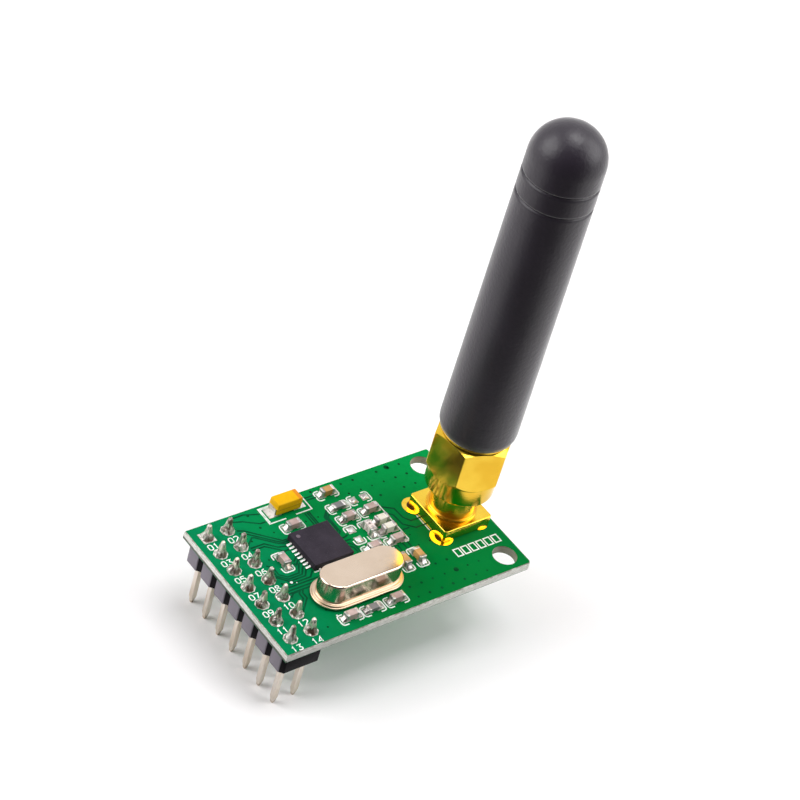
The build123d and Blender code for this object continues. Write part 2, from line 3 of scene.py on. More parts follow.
import bmesh
import bpy
from mathutils import Matrix, Vector, noise


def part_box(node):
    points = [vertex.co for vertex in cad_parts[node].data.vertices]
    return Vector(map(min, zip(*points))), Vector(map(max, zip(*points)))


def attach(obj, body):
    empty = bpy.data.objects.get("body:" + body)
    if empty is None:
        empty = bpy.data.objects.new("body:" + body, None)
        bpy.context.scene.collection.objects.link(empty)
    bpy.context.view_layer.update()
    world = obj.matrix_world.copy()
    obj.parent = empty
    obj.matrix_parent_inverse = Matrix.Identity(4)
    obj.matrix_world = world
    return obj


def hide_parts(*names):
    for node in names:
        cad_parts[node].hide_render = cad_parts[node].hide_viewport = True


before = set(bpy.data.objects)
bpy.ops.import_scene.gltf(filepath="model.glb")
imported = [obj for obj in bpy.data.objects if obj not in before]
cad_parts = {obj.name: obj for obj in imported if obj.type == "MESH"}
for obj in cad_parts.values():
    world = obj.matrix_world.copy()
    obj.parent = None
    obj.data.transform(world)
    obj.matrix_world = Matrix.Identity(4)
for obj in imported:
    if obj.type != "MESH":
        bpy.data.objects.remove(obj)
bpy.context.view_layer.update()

# Camera. It stands where the photograph was taken from, worked out from the board's
# corners, its screw holes, the header's pins and the line of the antenna.
camera = bpy.data.objects.new("camera", bpy.data.cameras.new("camera"))
camera.data.lens = 114.26
camera.data.sensor_width = 36
camera.matrix_world = (
    Matrix.Translation((-0.129747, -0.129562, 0.184024))
    @ Matrix.Rotation(radians(-47.622), 4, "Z")
    @ Matrix.Rotation(radians(90 - 39.687), 4, "X")
    @ Matrix.Rotation(radians(16.974), 4, "Z")
)
bpy.context.scene.collection.objects.link(camera)
bpy.context.scene.camera = camera
bpy.context.scene.view_settings.view_transform = "Standard"


# Table. The module stands on the tips of its pins on a sheet of white card, which takes
# its shadow. The camera sees it as an even white backdrop, but to all other rays the card
# is painted grey in a wedge on the camera's side: painted shade, for the dark room there.
def fill(tree, node, sockets):
    """Gives a node's sockets their values, or links them to other nodes."""
    for name, value in sockets.items():
        if isinstance(value, Shade):
            tree.links.new(value.socket, node.inputs[name])
        else:
            node.inputs[name].default_value = value


class Shade:
    """A socket of a material. Sums, products and the like add the nodes that they need."""

    def __init__(self, tree, socket=None):
        self.tree = tree
        self.socket = socket

    def node(self, kind, sockets, output=0, **settings):
        """Adds any other node: its settings first, then its sockets' values or links."""
        made = self.tree.nodes.new("ShaderNode" + kind)
        for setting, value in settings.items():
            setattr(made, setting, value)
        fill(self.tree, made, sockets)
        return Shade(self.tree, made.outputs[output])

    def maths(self, operation, *values):
        return self.node("Math", dict(enumerate(values)), operation=operation)

    def __add__(self, other):
        return self.maths("ADD", self, other)

    __radd__ = __add__

    def __sub__(self, other):
        return self.maths("SUBTRACT", self, other)

    def __rsub__(self, other):
        return self.maths("SUBTRACT", other, self)

    def __mul__(self, other):
        return self.maths("MULTIPLY", self, other)

    __rmul__ = __mul__

    def __truediv__(self, other):
        return self.maths("DIVIDE", self, other)

    def __abs__(self):
        return self.maths("ABSOLUTE", self)

    def root(self):
        return self.maths("SQRT", self)

    def reach(self, across):
        """How far a point is from 0, with this number along and another across."""
        return (self * self + across * across).root()

    def rise(self, start, end):
        """0 below the start, 1 above the end, and smooth between them."""
        sockets = {"Value": self, "From Min": start, "From Max": end}
        return self.node("MapRange", sockets, interpolation_type="SMOOTHSTEP")

    def between(self, low, high):
        """The first colour where this is 0, and the second where it is 1."""
        return self.node("Mix", {0: self, 6: low, 7: high}, 2, data_type="RGBA")

    def noise(self, scale, detail=2.0, roughness=0.5, stretch=(1, 1, 1)):
        """Soft random patches, at so many to the millimetre, stretched along an axis."""
        sockets = {"Vector": self, "Scale": stretch}
        place = self.node("Mapping", sockets)
        sockets = {"Vector": place, "Scale": scale, "Detail": detail, "Roughness": roughness}
        return place.node("TexNoise", sockets)

    def parts(self):
        """The three numbers of a place."""
        return [self.node("SeparateXYZ", {0: self}, output) for output in range(3)]


def rgb(red, green, blue):
    """A colour as it looks on a screen, 0 to 255, turned into the renderer's scale."""
    levels = [level / 255 for level in (red, green, blue)]
    return (*[(v / 12.92 if v < 0.04 else ((v + 0.055) / 1.055) ** 2.4) for v in levels], 1)


def new_finish(name):
    """A material, and the place on the piece in millimetres that its patterns read."""
    finish = bpy.data.materials.new(name)
    finish.use_nodes = True
    place = Shade(finish.node_tree).node("TexCoord", {}, output=3)
    return finish, place.node("VectorMath", {0: place, "Scale": 1000}, operation="SCALE")


socket_names = {
    "metallic": "Metallic",
    "specular": "Specular IOR Level",
    "sheen": "Sheen Weight",
    "sheen_roughness": "Sheen Roughness",
}


def set_surface(finish, colour, roughness, bump=None, depth=0.01, **others):
    """Sets the look of a finish, with a bump from a height and a depth in millimetres."""
    sockets = {"Base Color": colour, "Roughness": roughness}
    sockets.update({socket_names[name]: value for name, value in others.items()})
    if bump:
        sockets["Normal"] = bump.node("Bump", {"Height": bump, "Distance": depth / 1000})
    fill(finish.node_tree, finish.node_tree.nodes["Principled BSDF"], sockets)


card_place = Matrix.Translation((0, 0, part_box("header_pins")[0].z))
card_shape = bmesh.new()
bmesh.ops.create_circle(card_shape, cap_ends=True, radius=1.6, segments=96, matrix=card_place)
card_mesh = bpy.data.meshes.new("card")
card_shape.to_mesh(card_mesh)
card_shape.free()
card = bpy.data.objects.new("card", card_mesh)
bpy.context.scene.collection.objects.link(card)
card_finish, place = new_finish("white_card")
grain = place.noise(0.6, 3)
x, y, z = place.parts()
x = x - 13
nearer = -0.6 * x - 0.8 * y
front = nearer / (x * x + y * y + 1).root()
# A wedge of painted shade on the card, on the camera's side, seen by all rays but the camera's.
painted_room_shade = front.rise(0.3, 0.8) * nearer.rise(12, 26)
seen = place.node("LightPath", {})
lit = seen.maths("MAXIMUM", 1 - painted_room_shade, seen)
paper_white = grain.between(rgb(251, 249, 250), rgb(255, 253, 254))
colour = lit.between(rgb(90, 88, 90), paper_white)
set_surface(card_finish, colour, 0.9, specular=0.1)
backdrop_white = (1, 0.995, 0.998, 1)
distant = x.reach(y).rise(110, 340)
glow = place.node("Emission", {"Color": backdrop_white, "Strength": seen * (0.04 + 0.96 * distant)})
card_nodes = card_finish.node_tree.nodes
paper = Shade(card_finish.node_tree, card_nodes["Principled BSDF"].outputs[0])
lit_card = paper.node("AddShader", {0: paper, 1: glow})
fill(card_finish.node_tree, card_nodes["Material Output"], {0: lit_card})
card_mesh.materials.append(card_finish)

# Light. One soft box hangs over the table, two stand to the left and the right of it, and
# the room is white all round but dark on the camera's side. Metal sees the room at its full
# strength, as it sees the backdrop, and the rest is lit by a quarter of it.
lamp_target = Vector((0.015, 0, 0.015))
for name, azimuth, height, distance, width, watts in (
    ("left_box", 147, 33, 0.62, 0.5, 3.1),
    ("right_box", -37, 33, 0.62, 0.5, 2.1),
    ("top_box", 0, 80, 0.75, 0.4, 2.8),
):
    lamp = bpy.data.objects.new(name, bpy.data.lights.new(name, "AREA"))
    lamp.data.shape = "SQUARE"
    lamp.data.size = width
    lamp.data.energy = watts
    angle, rise = radians(azimuth), radians(height)
    towards = Vector((cos(rise) * cos(angle), cos(rise) * sin(angle), sin(rise)))
    lamp.matrix_world = Matrix.Translation(lamp_target + distance * towards) @ (
        towards.to_track_quat("Z", "Y").to_matrix().to_4x4()
    )
    bpy.context.scene.collection.objects.link(lamp)

room = bpy.data.worlds.new("room")
room.use_nodes = True
bpy.context.scene.world = room
room_place = Shade(room.node_tree).node("TexCoord", {}, output=0)
room_x, room_y = room_place.parts()[:2]
away = (0.74 * room_x + 0.67 * room_y).rise(-0.7, 0.4)
room_light = 0.08 + 0.9 * away
seen = room_place.node("LightPath", {})
mirrored = room_place.node("LightPath", {}, "Is Glossy Ray")
room_strength = seen.maths("MAXIMUM", room_light * (0.25 + 0.75 * mirrored), seen)
sky = room.node_tree.nodes["Background"]
fill(room.node_tree, sky, {"Strength": room_strength, "Color": backdrop_white})


# Circuit board. Green lacquered glass-fibre board, drilled, and snapped off its panel
# along scored lines, which leaves slanted lacquered flanks and a ragged pale break.
def dress(finish, *nodes):
    """Gives CAD nodes a finish."""
    for node in nodes:
        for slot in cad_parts[node].material_slots:
            slot.material = finish


board_bottom = 2.54
board_top = 3.54
board_left = -2.87
board_finish, place = new_finish("solder_mask_board")
x, y, z = place.parts()
cloud = place.noise(0.11, 3)
weave = place.noise(2.2, 4)
# The lacquer is painted darker towards the near, -y side of the board: painted shade. It turns bluer
# towards the header end and darker in a fine weave.
shaded_lacquer = (0.055 * y + cloud).rise(0.1, 1.0).between(rgb(0, 116, 50), rgb(0, 141, 68))
shaded_lacquer = ((x + 6 * cloud).rise(15, 3) * 0.7).between(shaded_lacquer, rgb(3, 134, 90))
shaded_lacquer = (weave.rise(0.45, 0.75) * 0.25).between(shaded_lacquer, rgb(0, 112, 56))
fibres = place.noise(1.6, 5, 0.7, stretch=(1, 1, 7))
ragged = place.noise(2.4, 4, 0.7)
core = fibres.rise(0.32, 0.6).between(rgb(206, 206, 194), rgb(248, 248, 242))
layer = place.noise(0.9, 3, 0.6, stretch=(1, 1, 0.2))
brown = (z + 0.3 * ragged).rise(board_top - 0.08, board_top + 0.06) * layer.rise(0.35, 0.6)
core = (0.7 * brown).between(core, rgb(112, 100, 78))
# At the header end the lower scored flank is painted dark grey-green: partly its lacquer, partly painted
# shade, as it faces down.
pin_end = x.rise(board_left + 0.14, board_left + 0.12)
under_score = (z + 0.16 * ragged).rise(board_bottom + 0.42, board_bottom + 0.3)
core = (0.85 * pin_end * under_score).between(core, rgb(70, 72, 62))
screw_hole = (26.88, 7.42)
# The walls of the screw holes are painted darker olive: partly the cut fibre's colour, partly painted
# shade in the holes.
bored = (x - screw_hole[0]).reach(abs(y) - screw_hole[1]).rise(1.5, 1.42)
core = (bored * 0.75).between(core, fibres.between(rgb(84, 84, 56), rgb(150, 148, 122)))
rim = (z + 0.05 * ragged).rise(board_top - 0.005, board_top + 0.015)
under_rim = (z - 0.1 * ragged).rise(board_bottom - 0.03, board_bottom + 0.02)
painted = 1 - under_rim * (1 - rim)
colour = painted.between(core, shaded_lacquer)
set_surface(
    board_finish, colour, (1 - painted) * 0.5 + 0.3 + 0.08 * weave,
    painted * (0.25 * weave) + (1 - painted) * fibres, 0.06, specular=0.03,
)
dress(board_finish, "circuit_board")

# Copper under the lacquer. The tracks and the plane round them stand apart as slightly
# darker channels where the copper is etched away, and small plated holes join the sides.
ink_thickness = 0.012


def draw_line(shape, points, width, level, closed=False):
    """Adds a flat line along points, mitred at its corners."""
    points = [Vector(point) for point in points]
    sides = []
    for number, point in enumerate(points):
        following = points[(number + 1) % len(points)]
        arriving = point - points[number - 1]
        leaving = following - point
        if not closed and number == 0:
            arriving = leaving
        if not closed and number == len(points) - 1:
            leaving = arriving
        arriving.normalize()
        leaving.normalize()
        across = (arriving + leaving).normalized()
        across = Vector((-across.y, across.x))
        reach = width / 2 / max(0.4, across.dot(Vector((-leaving.y, leaving.x))))
        pair = [point + side * reach * across for side in (1, -1)]
        sides.append([shape.verts.new((*corner, level)) for corner in pair])
    following = sides[1:] + sides[:1] if closed else sides[1:]
    for (left, right), (next_left, next_right) in zip(sides, following):
        shape.faces.new((left, right, next_right, next_left))


def add_piece(name, shape, finish, slot, *stands_for, sharp=35):
    """Makes an object of a shape built in millimetres, which rides on the module."""
    bmesh.ops.scale(shape, vec=(0.001, 0.001, 0.001), verts=shape.verts)
    for face in shape.faces:
        face.smooth = True
    for edge in shape.edges:
        edge.smooth = edge.calc_face_angle(0) < radians(sharp)
    mesh = bpy.data.meshes.new(name)
    shape.to_mesh(mesh)
    shape.free()
    mesh.materials.append(finish)
    piece = bpy.data.objects.new(name, mesh)
    bpy.context.scene.collection.objects.link(piece)
    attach(piece, "root")
    if stands_for:
        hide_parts(*stands_for)


def turn_outwards(shape):
    """Makes all faces look outwards."""
    bmesh.ops.recalc_face_normals(shape, faces=shape.faces)


def thicken(shape, thickness):
    """Gives flat faces that look up a thickness, with the sides closed."""
    made = bmesh.ops.extrude_face_region(shape, geom=shape.faces[:], use_keep_orig=True)
    raised = [part for part in made["geom"] if isinstance(part, bmesh.types.BMVert)]
    bmesh.ops.translate(shape, vec=(0, 0, thickness), verts=raised)
    turn_outwards(shape)


board_middle = 13.08
track_gaps = [
    [(-11.0, 8.55), (-9.6, 8.1), (-8.0, 7.1), (-7.3, 7.1)],
    [(-10.9, 7.2), (-10.2, 6.9), (-7.9, 4.75), (-7.2, 4.1), (-6.6, 4.1)],
    [(-10.9, 6.75), (-10.3, 6.5), (-7.9, 4.3), (-7.3, 3.85), (-6.6, 3.85)],
    [(-11.0, 4.95), (-10.0, 5.75), (-9.7, 5.6), (-7.9, 3.95), (-7.2, 3.6), (-6.7, 3.6)],
    [(-11.0, 4.5), (-9.3, 4.5), (-8.2, 3.5), (-7.2, 3.25), (-6.7, 3.25)],
    [(-11.0, 4.15), (-9.5, 4.15), (-8.3, 3.15), (-7.9, 2.7), (-7.7, 2.75), (-6.7, 2.75)],
    [(-7.9, 1.1), (-7.2, 1.6), (-6.7, 1.6)],
    [(-8.05, 0.9), (-7.9, 0.6), (-7.3, 1.15), (-6.7, 1.15)],
    [(-10.9, 1.75), (-10.4, 1.3), (-10.4, 0.2), (-9.7, -0.45), (-8.3, -0.45), (-7.6, 0.6), (-6.7, 0.65)],
    [(-10.9, 0.9), (-10.7, 0.65), (-10.7, 0.1), (-9.8, -0.75), (-8.1, -0.75), (-7.4, 0.15), (-6.7, 0.2)],
    [(-10.9, 0.0), (-9.9, -1.05), (-7.9, -1.05), (-7.3, -0.3), (-6.7, -0.25)],
    [(-10.2, -1.4), (-7.5, -1.4), (-6.8, -0.75)],
    [(-10.9, -0.9), (-10.4, -1.75), (-6.2, -1.75)],
    [(-11.0, -2.15), (-9.9, -2.15), (-6.5, -2.15)],
    [(-11.0, -2.5), (-7.3, -2.5)],
    [(-11.1, -5.2), (-9.55, -3.7), (-9.55, -2.9), (-9.2, -2.5)],
    [(-11.0, -4.7), (-9.95, -3.6), (-9.95, -2.9), (-9.6, -2.5)],
    [(-11.0, -3.0), (-10.5, -2.6), (-9.9, -2.6)],
    [(-7.3, 8.3), (-9.0, 8.9), (-11.0, 8.9)],
    [(-1.5, 8.35), (-0.2, 8.35)],
    [(-1.5, 8.0), (-0.2, 8.0)],
    [(-2.75, 6.5), (-2.75, 4.2)],
    [(-2.2, 6.5), (-2.2, 4.2)],
    [(-2.45, 6.5), (-2.45, 4.4)],
    [(-0.3, 5.9), (-1.1, 5.15), (-1.1, 4.2)],
    [(-0.3, 5.35), (-0.75, 4.95), (-0.75, 2.75), (-1.2, 2.35), (-1.8, 2.35)],
    [(-0.45, 5.6), (-0.9, 5.1), (-0.9, 3.0), (-1.2, 2.75), (-1.8, 2.75)],
    [(-1.8, 1.85), (-0.8, 1.85), (-0.3, 2.0)],
    [(-1.8, 1.35), (-0.8, 1.35), (-0.3, 1.35)],
    [(-1.8, 0.95), (-0.9, 0.95), (-0.45, 0.5), (-0.45, -0.6)],
    [(-1.8, 0.6), (-1.15, 0.6), (-0.75, 0.2), (-0.75, -0.6)],
    [(5.6, 3.95), (6.75, 3.2), (6.85, 1.7), (7.4, 0.95), (8.5, 0.95)],
    [(5.6, 2.95), (6.1, 2.4), (6.2, 0.9), (7.3, -0.1), (8.5, -0.1)],
    [(3.4, -1.35), (3.4, -2.4)],
    [(3.8, -1.4), (3.8, -2.3)],
    [(4.5, -1.4), (4.5, -2.3)],
    [(5.1, -1.4), (5.1, -2.2)],
    [(6.6, 0.2), (5.7, 0.2)],
]
gap_lines = bmesh.new()
line_step = 0.0003  # no two lines lie at one level
for number, points in enumerate(track_gaps):
    path = [(board_middle + a, b) for a, b in points]
    draw_line(gap_lines, path, 0.2, board_top + line_step * number)
thicken(gap_lines, ink_thickness / 2)
gap_finish, place = new_finish("bare_laminate_lines")
patch = place.noise(0.8, 3)
colour = patch.rise(0.3, 0.7).between(rgb(0, 72, 44), rgb(0, 90, 54))
set_surface(gap_finish, colour, 0.32 + 0.1 * patch, patch, 0.02, specular=0.05)
add_piece("track_gaps", gap_lines, gap_finish, "solder_mask")

via_places = (
    [(a, 8.6) for a in (3.5, 5.1, 8.3, 9.9, 11.4)]
    + [(a, 7.05) for a in (3.5, 5.1, 6.6, 8.2, 9.8, 11.35)]
    + [(a, 5.45) for a in (6.6, 9.8, 11.35, -3.3, -1.7, -7.4)]
    + [(a, -5.3) for a in (4.5, 6.0, 7.5)]
    + [(a, -6.9) for a in (1.35, 2.9, 4.4, 6.0, 9.1, 10.6)]
    + [(a, -8.4) for a in (1.4, 2.9, 4.5, 6.0, 7.55, 9.1, 10.6)]
    + [(6.0, -0.7), (6.0, -2.3), (7.5, -2.3), (-0.3, 8.9), (2.0, 7.2), (-8.6, 8.6)]
    + [(-8.35, 6.6), (-10.3, 5.3), (-10.15, 2.35), (-8.7, -5.9), (-9.9, -7.9)]
)
large_via_places = [(7.55, -6.9), (9.75, 8.75)]
vias = bmesh.new()
for number, (a, b) in enumerate(via_places + large_via_places):
    size = 0.3 if (a, b) in large_via_places else 0.14 + 0.03 * sin(7 * number)
    for level in (board_top - 0.001, board_bottom - 0.009):
        place = Matrix.Translation((board_middle + a, b, level))
        bmesh.ops.create_circle(vias, cap_ends=True, radius=size, segments=12, matrix=place)
thicken(vias, 0.01)
via_finish, place = new_finish("lacquered_holes")
patch = place.noise(1.1, 2)
colour = patch.rise(0.35, 0.65).between(rgb(0, 56, 30), rgb(0, 84, 44))
set_surface(via_finish, colour, 0.4 + 0.2 * patch, patch, 0.02, specular=0.05)
add_piece("vias", vias, via_finish, "solder_mask")

# Printing on the board. Screen-printed white ink: brackets round the parts, a box round
# the tantalum capacitor, a plain number beside each pin and a row of empty tick boxes.
silk = bmesh.new()
silk_width = 0.15


def draw_bracket(centre, turn, ends):
    """Adds the rounded brackets at one end or both ends of a chip's outline."""
    half_length, half_width, arm, corner = 1.36, 0.68, 0.72, 0.28
    outline = [
        (half_length - arm, half_width),
        (half_length - corner, half_width),
        (half_length - 0.3 * corner, half_width - 0.3 * corner),
        (half_length, half_width - corner),
    ]
    outline += [(a, -b) for a, b in reversed(outline)]
    spin = Matrix.Rotation(radians(turn), 2)
    for end in ends:
        path = [spin @ Vector((end * a, b)) for a, b in outline]
        path = [(board_middle + centre[0] + p.x, centre[1] + p.y) for p in path]
        draw_line(silk, path, silk_width, board_top)


far_row = 8.0
near_row = -7.8
capacitors = [
    (1.15, far_row, 0), (-5.1, 5.35, 0), (1.15, 3.95, 0), (4.1, 4.0, 0), (4.1, -0.85, 0),
    (1.1, -0.8, 0), (-9.0, 1.45, 90), (2.9, -3.75, 90), (4.8, -3.75, 90),
    (-6.95, near_row, 0), (-1.1, near_row, 0),
]
resistors = [(1.15, 5.8, 0), (-4.1, near_row, 0)]
inductors = [(4.1, 2.1, 0), (4.1, 0.75, 0), (2.2, 1.6, 90)]
empty_outlines = [(4.05, 5.95, 0), (0.4, 1.65, 90)]
for a, b, turn in capacitors + resistors + inductors + empty_outlines:
    # The column beside the connector has a rule of its own in place of the right brackets.
    draw_bracket((a, b), turn, (-1,) if a == 4.1 else (-1, 1))
for path in (
    [(5.0, 4.95), (5.3, 4.95), (5.5, 4.75), (5.5, -1.1), (5.3, -1.35), (4.9, -1.35)],
    [(-5.0, 6.65), (-7.1, 6.65), (-7.1, 8.95), (-5.6, 8.95)],
    [(-5.6, 8.78), (-6.93, 8.78), (-6.93, 6.8)],
    [(-3.65, 6.75), (-1.6, 6.75), (-1.6, 8.95), (-2.4, 8.95)],
    [(8.42, 1.35), (8.42, -1.05)],
    [(-6.75, -1.05), (-6.15, -1.05)],
):
    draw_line(silk, [(board_middle + a, b) for a, b in path], silk_width, board_top)
for a, b, size in ((-9.8, -1.25, 0.17), (-8.1, -7.0, 0.11), (-9.3, -1.5, 0.07)):
    place = Matrix.Translation((board_middle + a, b, board_top))
    bmesh.ops.create_circle(silk, cap_ends=True, radius=size, segments=14, matrix=place)
for number in range(6):
    left = board_middle + 8.95 + 1.03 * number
    right = left + 0.72
    tick_box = [(left, -5.5), (right, -5.5), (right, -4.48), (left, -4.48)]
    draw_line(silk, tick_box, silk_width, board_top, closed=True)

# A digit is one stroke, as a plotter draws it, in a box one wide and one high.
digit_strokes = {
    "0": [(0.25, 0), (0.75, 0), (1, 0.2), (1, 0.8), (0.75, 1), (0.25, 1), (0, 0.8), (0, 0.2), (0.25, 0)],
    "1": [(0.2, 0.75), (0.5, 1), (0.5, 0)],
    "2": [(0, 0.85), (0.2, 1), (0.8, 1), (1, 0.85), (1, 0.6), (0, 0), (1, 0)],
    "3": [(0, 1), (1, 1), (0.5, 0.6), (1, 0.4), (1, 0.15), (0.8, 0), (0.2, 0), (0, 0.15)],
    "4": [(0.8, 0), (0.8, 1), (0, 0.3), (1, 0.3)],
    "5": [(1, 1), (0.1, 1), (0, 0.6), (0.75, 0.6), (1, 0.45), (1, 0.15), (0.8, 0), (0.2, 0), (0, 0.15)],
    "6": [
        (0.9, 1), (0.3, 0.85), (0, 0.45), (0, 0.15), (0.2, 0), (0.8, 0), (1, 0.15), (1, 0.4),
        (0.8, 0.55), (0.1, 0.5),
    ],
    "7": [(0, 1), (1, 1), (0.35, 0)],
    "8": [
        (0.5, 0.52), (0.1, 0.7), (0.1, 0.88), (0.3, 1), (0.7, 1), (0.9, 0.88), (0.9, 0.7),
        (0.5, 0.52), (0, 0.3), (0, 0.12), (0.25, 0), (0.75, 0), (1, 0.12), (1, 0.3), (0.52, 0.52),
    ],
    "9": [
        (0.1, 0), (0.7, 0.15), (1, 0.55), (1, 0.85), (0.8, 1), (0.2, 1), (0, 0.85), (0, 0.6),
        (0.2, 0.45), (0.9, 0.5),
    ],
}
pin_pitch = 2.54
pin_places = [
    ((column - 0.5) * pin_pitch, (3 - row) * pin_pitch) for row in range(7) for column in range(2)
]
digit_width = 0.46
digit_height = 0.68
for number, (a, b) in enumerate(pin_places, 1):
    for place, digit in enumerate(f"{number:02d}"):
        corner = Vector((a - 0.66 + 0.68 * place, b - 1.68))
        stroke = [corner + Vector((digit_width * p, digit_height * q)) for p, q in digit_strokes[digit]]
        draw_line(silk, stroke, 0.125, board_top)
thicken(silk, ink_thickness)
silk_finish, place = new_finish("white_ink")
patch = place.noise(1.5, 4, 0.6)
colour = patch.rise(0.3, 0.5).between(rgb(196, 222, 206), rgb(244, 247, 244))
set_surface(silk_finish, colour, 0.6 + 0.2 * patch, patch, 0.03)
add_piece("printing", silk, silk_finish, "solder_mask")


# Lands. Copper under a bright coat of tin where the parts are soldered, and gold-plated
# rings round the holes for the connector's legs, where the open hole is painted dark: painted shade.
def add_turned(shape, profile, centre=(0, 0), steps=48, turn=0.0):
    """Adds a shape turned from a half section of radii and heights."""
    spin = Matrix.Rotation(radians(turn), 3, "Z")
    middle = Vector((*centre, 0))
    rim = [shape.verts.new(spin @ Vector((r, 0, z)) + middle) for r, z in profile]
    section = rim + [shape.edges.new(pair) for pair in zip(rim, rim[1:])]
    before = set(shape.verts) - set(rim)
    bmesh.ops.spin(
        shape, geom=section, cent=middle, axis=(0, 0, 1), angle=2 * pi, steps=steps, use_merge=True
    )
    made = [vert for vert in shape.verts if vert not in before]
    bmesh.ops.remove_doubles(shape, verts=made, dist=0.0001)
    return [vert for vert in shape.verts if vert not in before]


tin_finish, place = new_finish("tinned_metal")
ripple = place.noise(1.1, 3)
spots = place.noise(2.6, 3)
colour = (spots.rise(0.5, 0.7) * 0.6).between(rgb(214, 210, 206), rgb(158, 146, 136))
set_surface(tin_finish, colour, 0.38 + 0.2 * spots, ripple, 0.12, metallic=1.0)
dress(tin_finish, "tinned_lands", "header_lands", "underside_lands", "radio_chip_leads")
dress(tin_finish, "tantalum_straps", "crystal_leads")
gold_finish, place = new_finish("gold_plating")
haze = place.noise(0.35, 3)
brushed = place.noise(1.2, 3, 0.6, stretch=(1, 1, 5))
colour = haze.rise(0.35, 0.7).between(rgb(240, 200, 68), rgb(230, 182, 52))
set_surface(gold_finish, colour, 0.1 + 0.12 * haze, brushed, 0.004, metallic=1.0)
dress(gold_finish, "connector_contact")

connector = (24.78, 0)
rings = bmesh.new()
ring_profile = [
    (0, board_top), (1.28, board_top), (1.28, board_top + 0.06), (0.82, board_top + 0.08),
    (0.7, board_top + 0.04), (0, board_top + 0.04),
]
for a, b in ((-2.74, -2.42), (-2.74, 2.66), (2.3, -2.08), (2.3, 2.3)):
    add_turned(rings, ring_profile, (connector[0] + a, b), 40)
turn_outwards(rings)
ring_finish, place = new_finish("gold_ring_lands")
x, y, z = place.parts()
dirt = place.noise(1.6, 3)
from_ring = (abs(x - connector[0] + 0.22) - 2.52).reach(abs(y - 0.12) - 2.54)
# The open part of each leg's hole is painted dark brown on the flat ring: painted shade.
shaded_hole = (from_ring + 0.12 * dirt).rise(0.84, 0.78)
shine = dirt.rise(0.35, 0.7).between(rgb(252, 214, 86), rgb(246, 200, 60))
colour = shaded_hole.between(shine, rgb(74, 40, 10))
set_surface(ring_finish, colour, 0.16 + 0.3 * shaded_hole + 0.1 * dirt, dirt, 0.04, metallic=1 - 0.7 * shaded_hole)
add_piece("gold_rings", rings, ring_finish, "gold_plate", "gold_lands")


# Pin header. Fourteen square pins of tinned brass, each pressed through a black nylon
# strip that is notched between the rows, and tapered to a blunt tip.
def add_block(shape, low, high):
    """Adds a box between two corners."""
    low, high = Vector(low), Vector(high)
    place = Matrix.Translation((low + high) / 2) @ Matrix.Diagonal((*(high - low), 1))
    return bmesh.ops.create_cube(shape, size=1, matrix=place)["verts"]


def add_post(shape, centre, half, low, high):
    """Adds an upright box round a centre, from a low level to a high one."""
    (x, y), (a, b) = centre, half
    add_block(shape, (x - a, y - b, low), (x + a, y + b, high))


def soften(shape, width, segments=2, edges=None):
    """Rounds the edges off, or only the ones that are given."""
    if edges is None:
        edges = [edge for edge in shape.edges if edge.calc_face_angle(0) > radians(25)]
    bmesh.ops.bevel(
        shape, geom=edges, offset=width, offset_type="OFFSET", segments=segments, profile=0.5,
        affect="EDGES", clamp_overlap=True, material=-1,
    )


def cut_level(shape, level):
    """Cuts every face through at a level, and leaves both halves in place."""
    geom = shape.verts[:] + shape.edges[:] + shape.faces[:]
    bmesh.ops.bisect_plane(shape, geom=geom, plane_co=(0, 0, level), plane_no=(0, 0, 1))


housing = bmesh.new()
housing.from_mesh(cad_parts["header_housing"].data)
bmesh.ops.scale(housing, vec=(1000, 1000, 1000), verts=housing.verts)
bmesh.ops.remove_doubles(housing, verts=housing.verts, dist=0.001)
bmesh.ops.dissolve_limit(housing, angle_limit=radians(2), verts=housing.verts, edges=housing.edges)
outer = [
    edge
    for edge in housing.edges
    if edge.calc_face_angle(0) > radians(25)
    and max(abs(edge.verts[0].co.x), abs(edge.verts[1].co.x)) > 2
]
soften(housing, 0.06, 2, outer)
housing_finish, place = new_finish("black_nylon")
grain = place.noise(3.2, 4, 0.6)
# The strip's outer faces are painted a light lilac grey: a painted sheen where the light falls on the
# black nylon. The notches keep its near-black.
face = abs(place.parts()[0]).rise(2.44, 2.5)
colour = face.between(rgb(15, 11, 16), rgb(138, 132, 141))
set_surface(housing_finish, colour, 0.5 + 0.12 * grain, grain, 0.02, specular=0.12)
add_piece("header_strip", housing, housing_finish, "header_plastic", "header_housing")

pin_half = 0.32
pin_tip = -5.9
pin_top = board_top + 1.85
pins = bmesh.new()
for spot in pin_places:
    add_post(pins, spot, (pin_half, pin_half), pin_tip, pin_top)
pin_taper = 0.9
tip_share = 0.47
for level in (pin_tip + pin_taper, pin_top - pin_taper):
    cut_level(pins, level)
for vert in pins.verts:
    if pin_tip + 0.01 < vert.co.z < pin_top - 0.01:
        continue
    middle = min(pin_places, key=lambda spot: (vert.co.xy - Vector(spot)).length)
    vert.co.x = middle[0] + (vert.co.x - middle[0]) * tip_share
    vert.co.y = middle[1] + (vert.co.y - middle[1]) * tip_share
soften(pins, 0.055, 2)
pin_finish, place = new_finish("tinned_brass_pins")
streak = place.noise(1.4, 3, stretch=(1, 1, 0.12))
dull = place.noise(0.5, 2)
cut_end = (place.parts()[2] + 0.1 * streak).rise(-5.35, -5.75)
colour = streak.rise(0.35, 0.7).between(rgb(232, 218, 200), rgb(246, 238, 228))
colour = (0.5 * cut_end).between(colour, rgb(176, 150, 108))
set_surface(pin_finish, colour, 0.32 + 0.14 * dull, streak, 0.02, metallic=1.0)
add_piece("pins", pins, pin_finish, "tin", "header_pins")

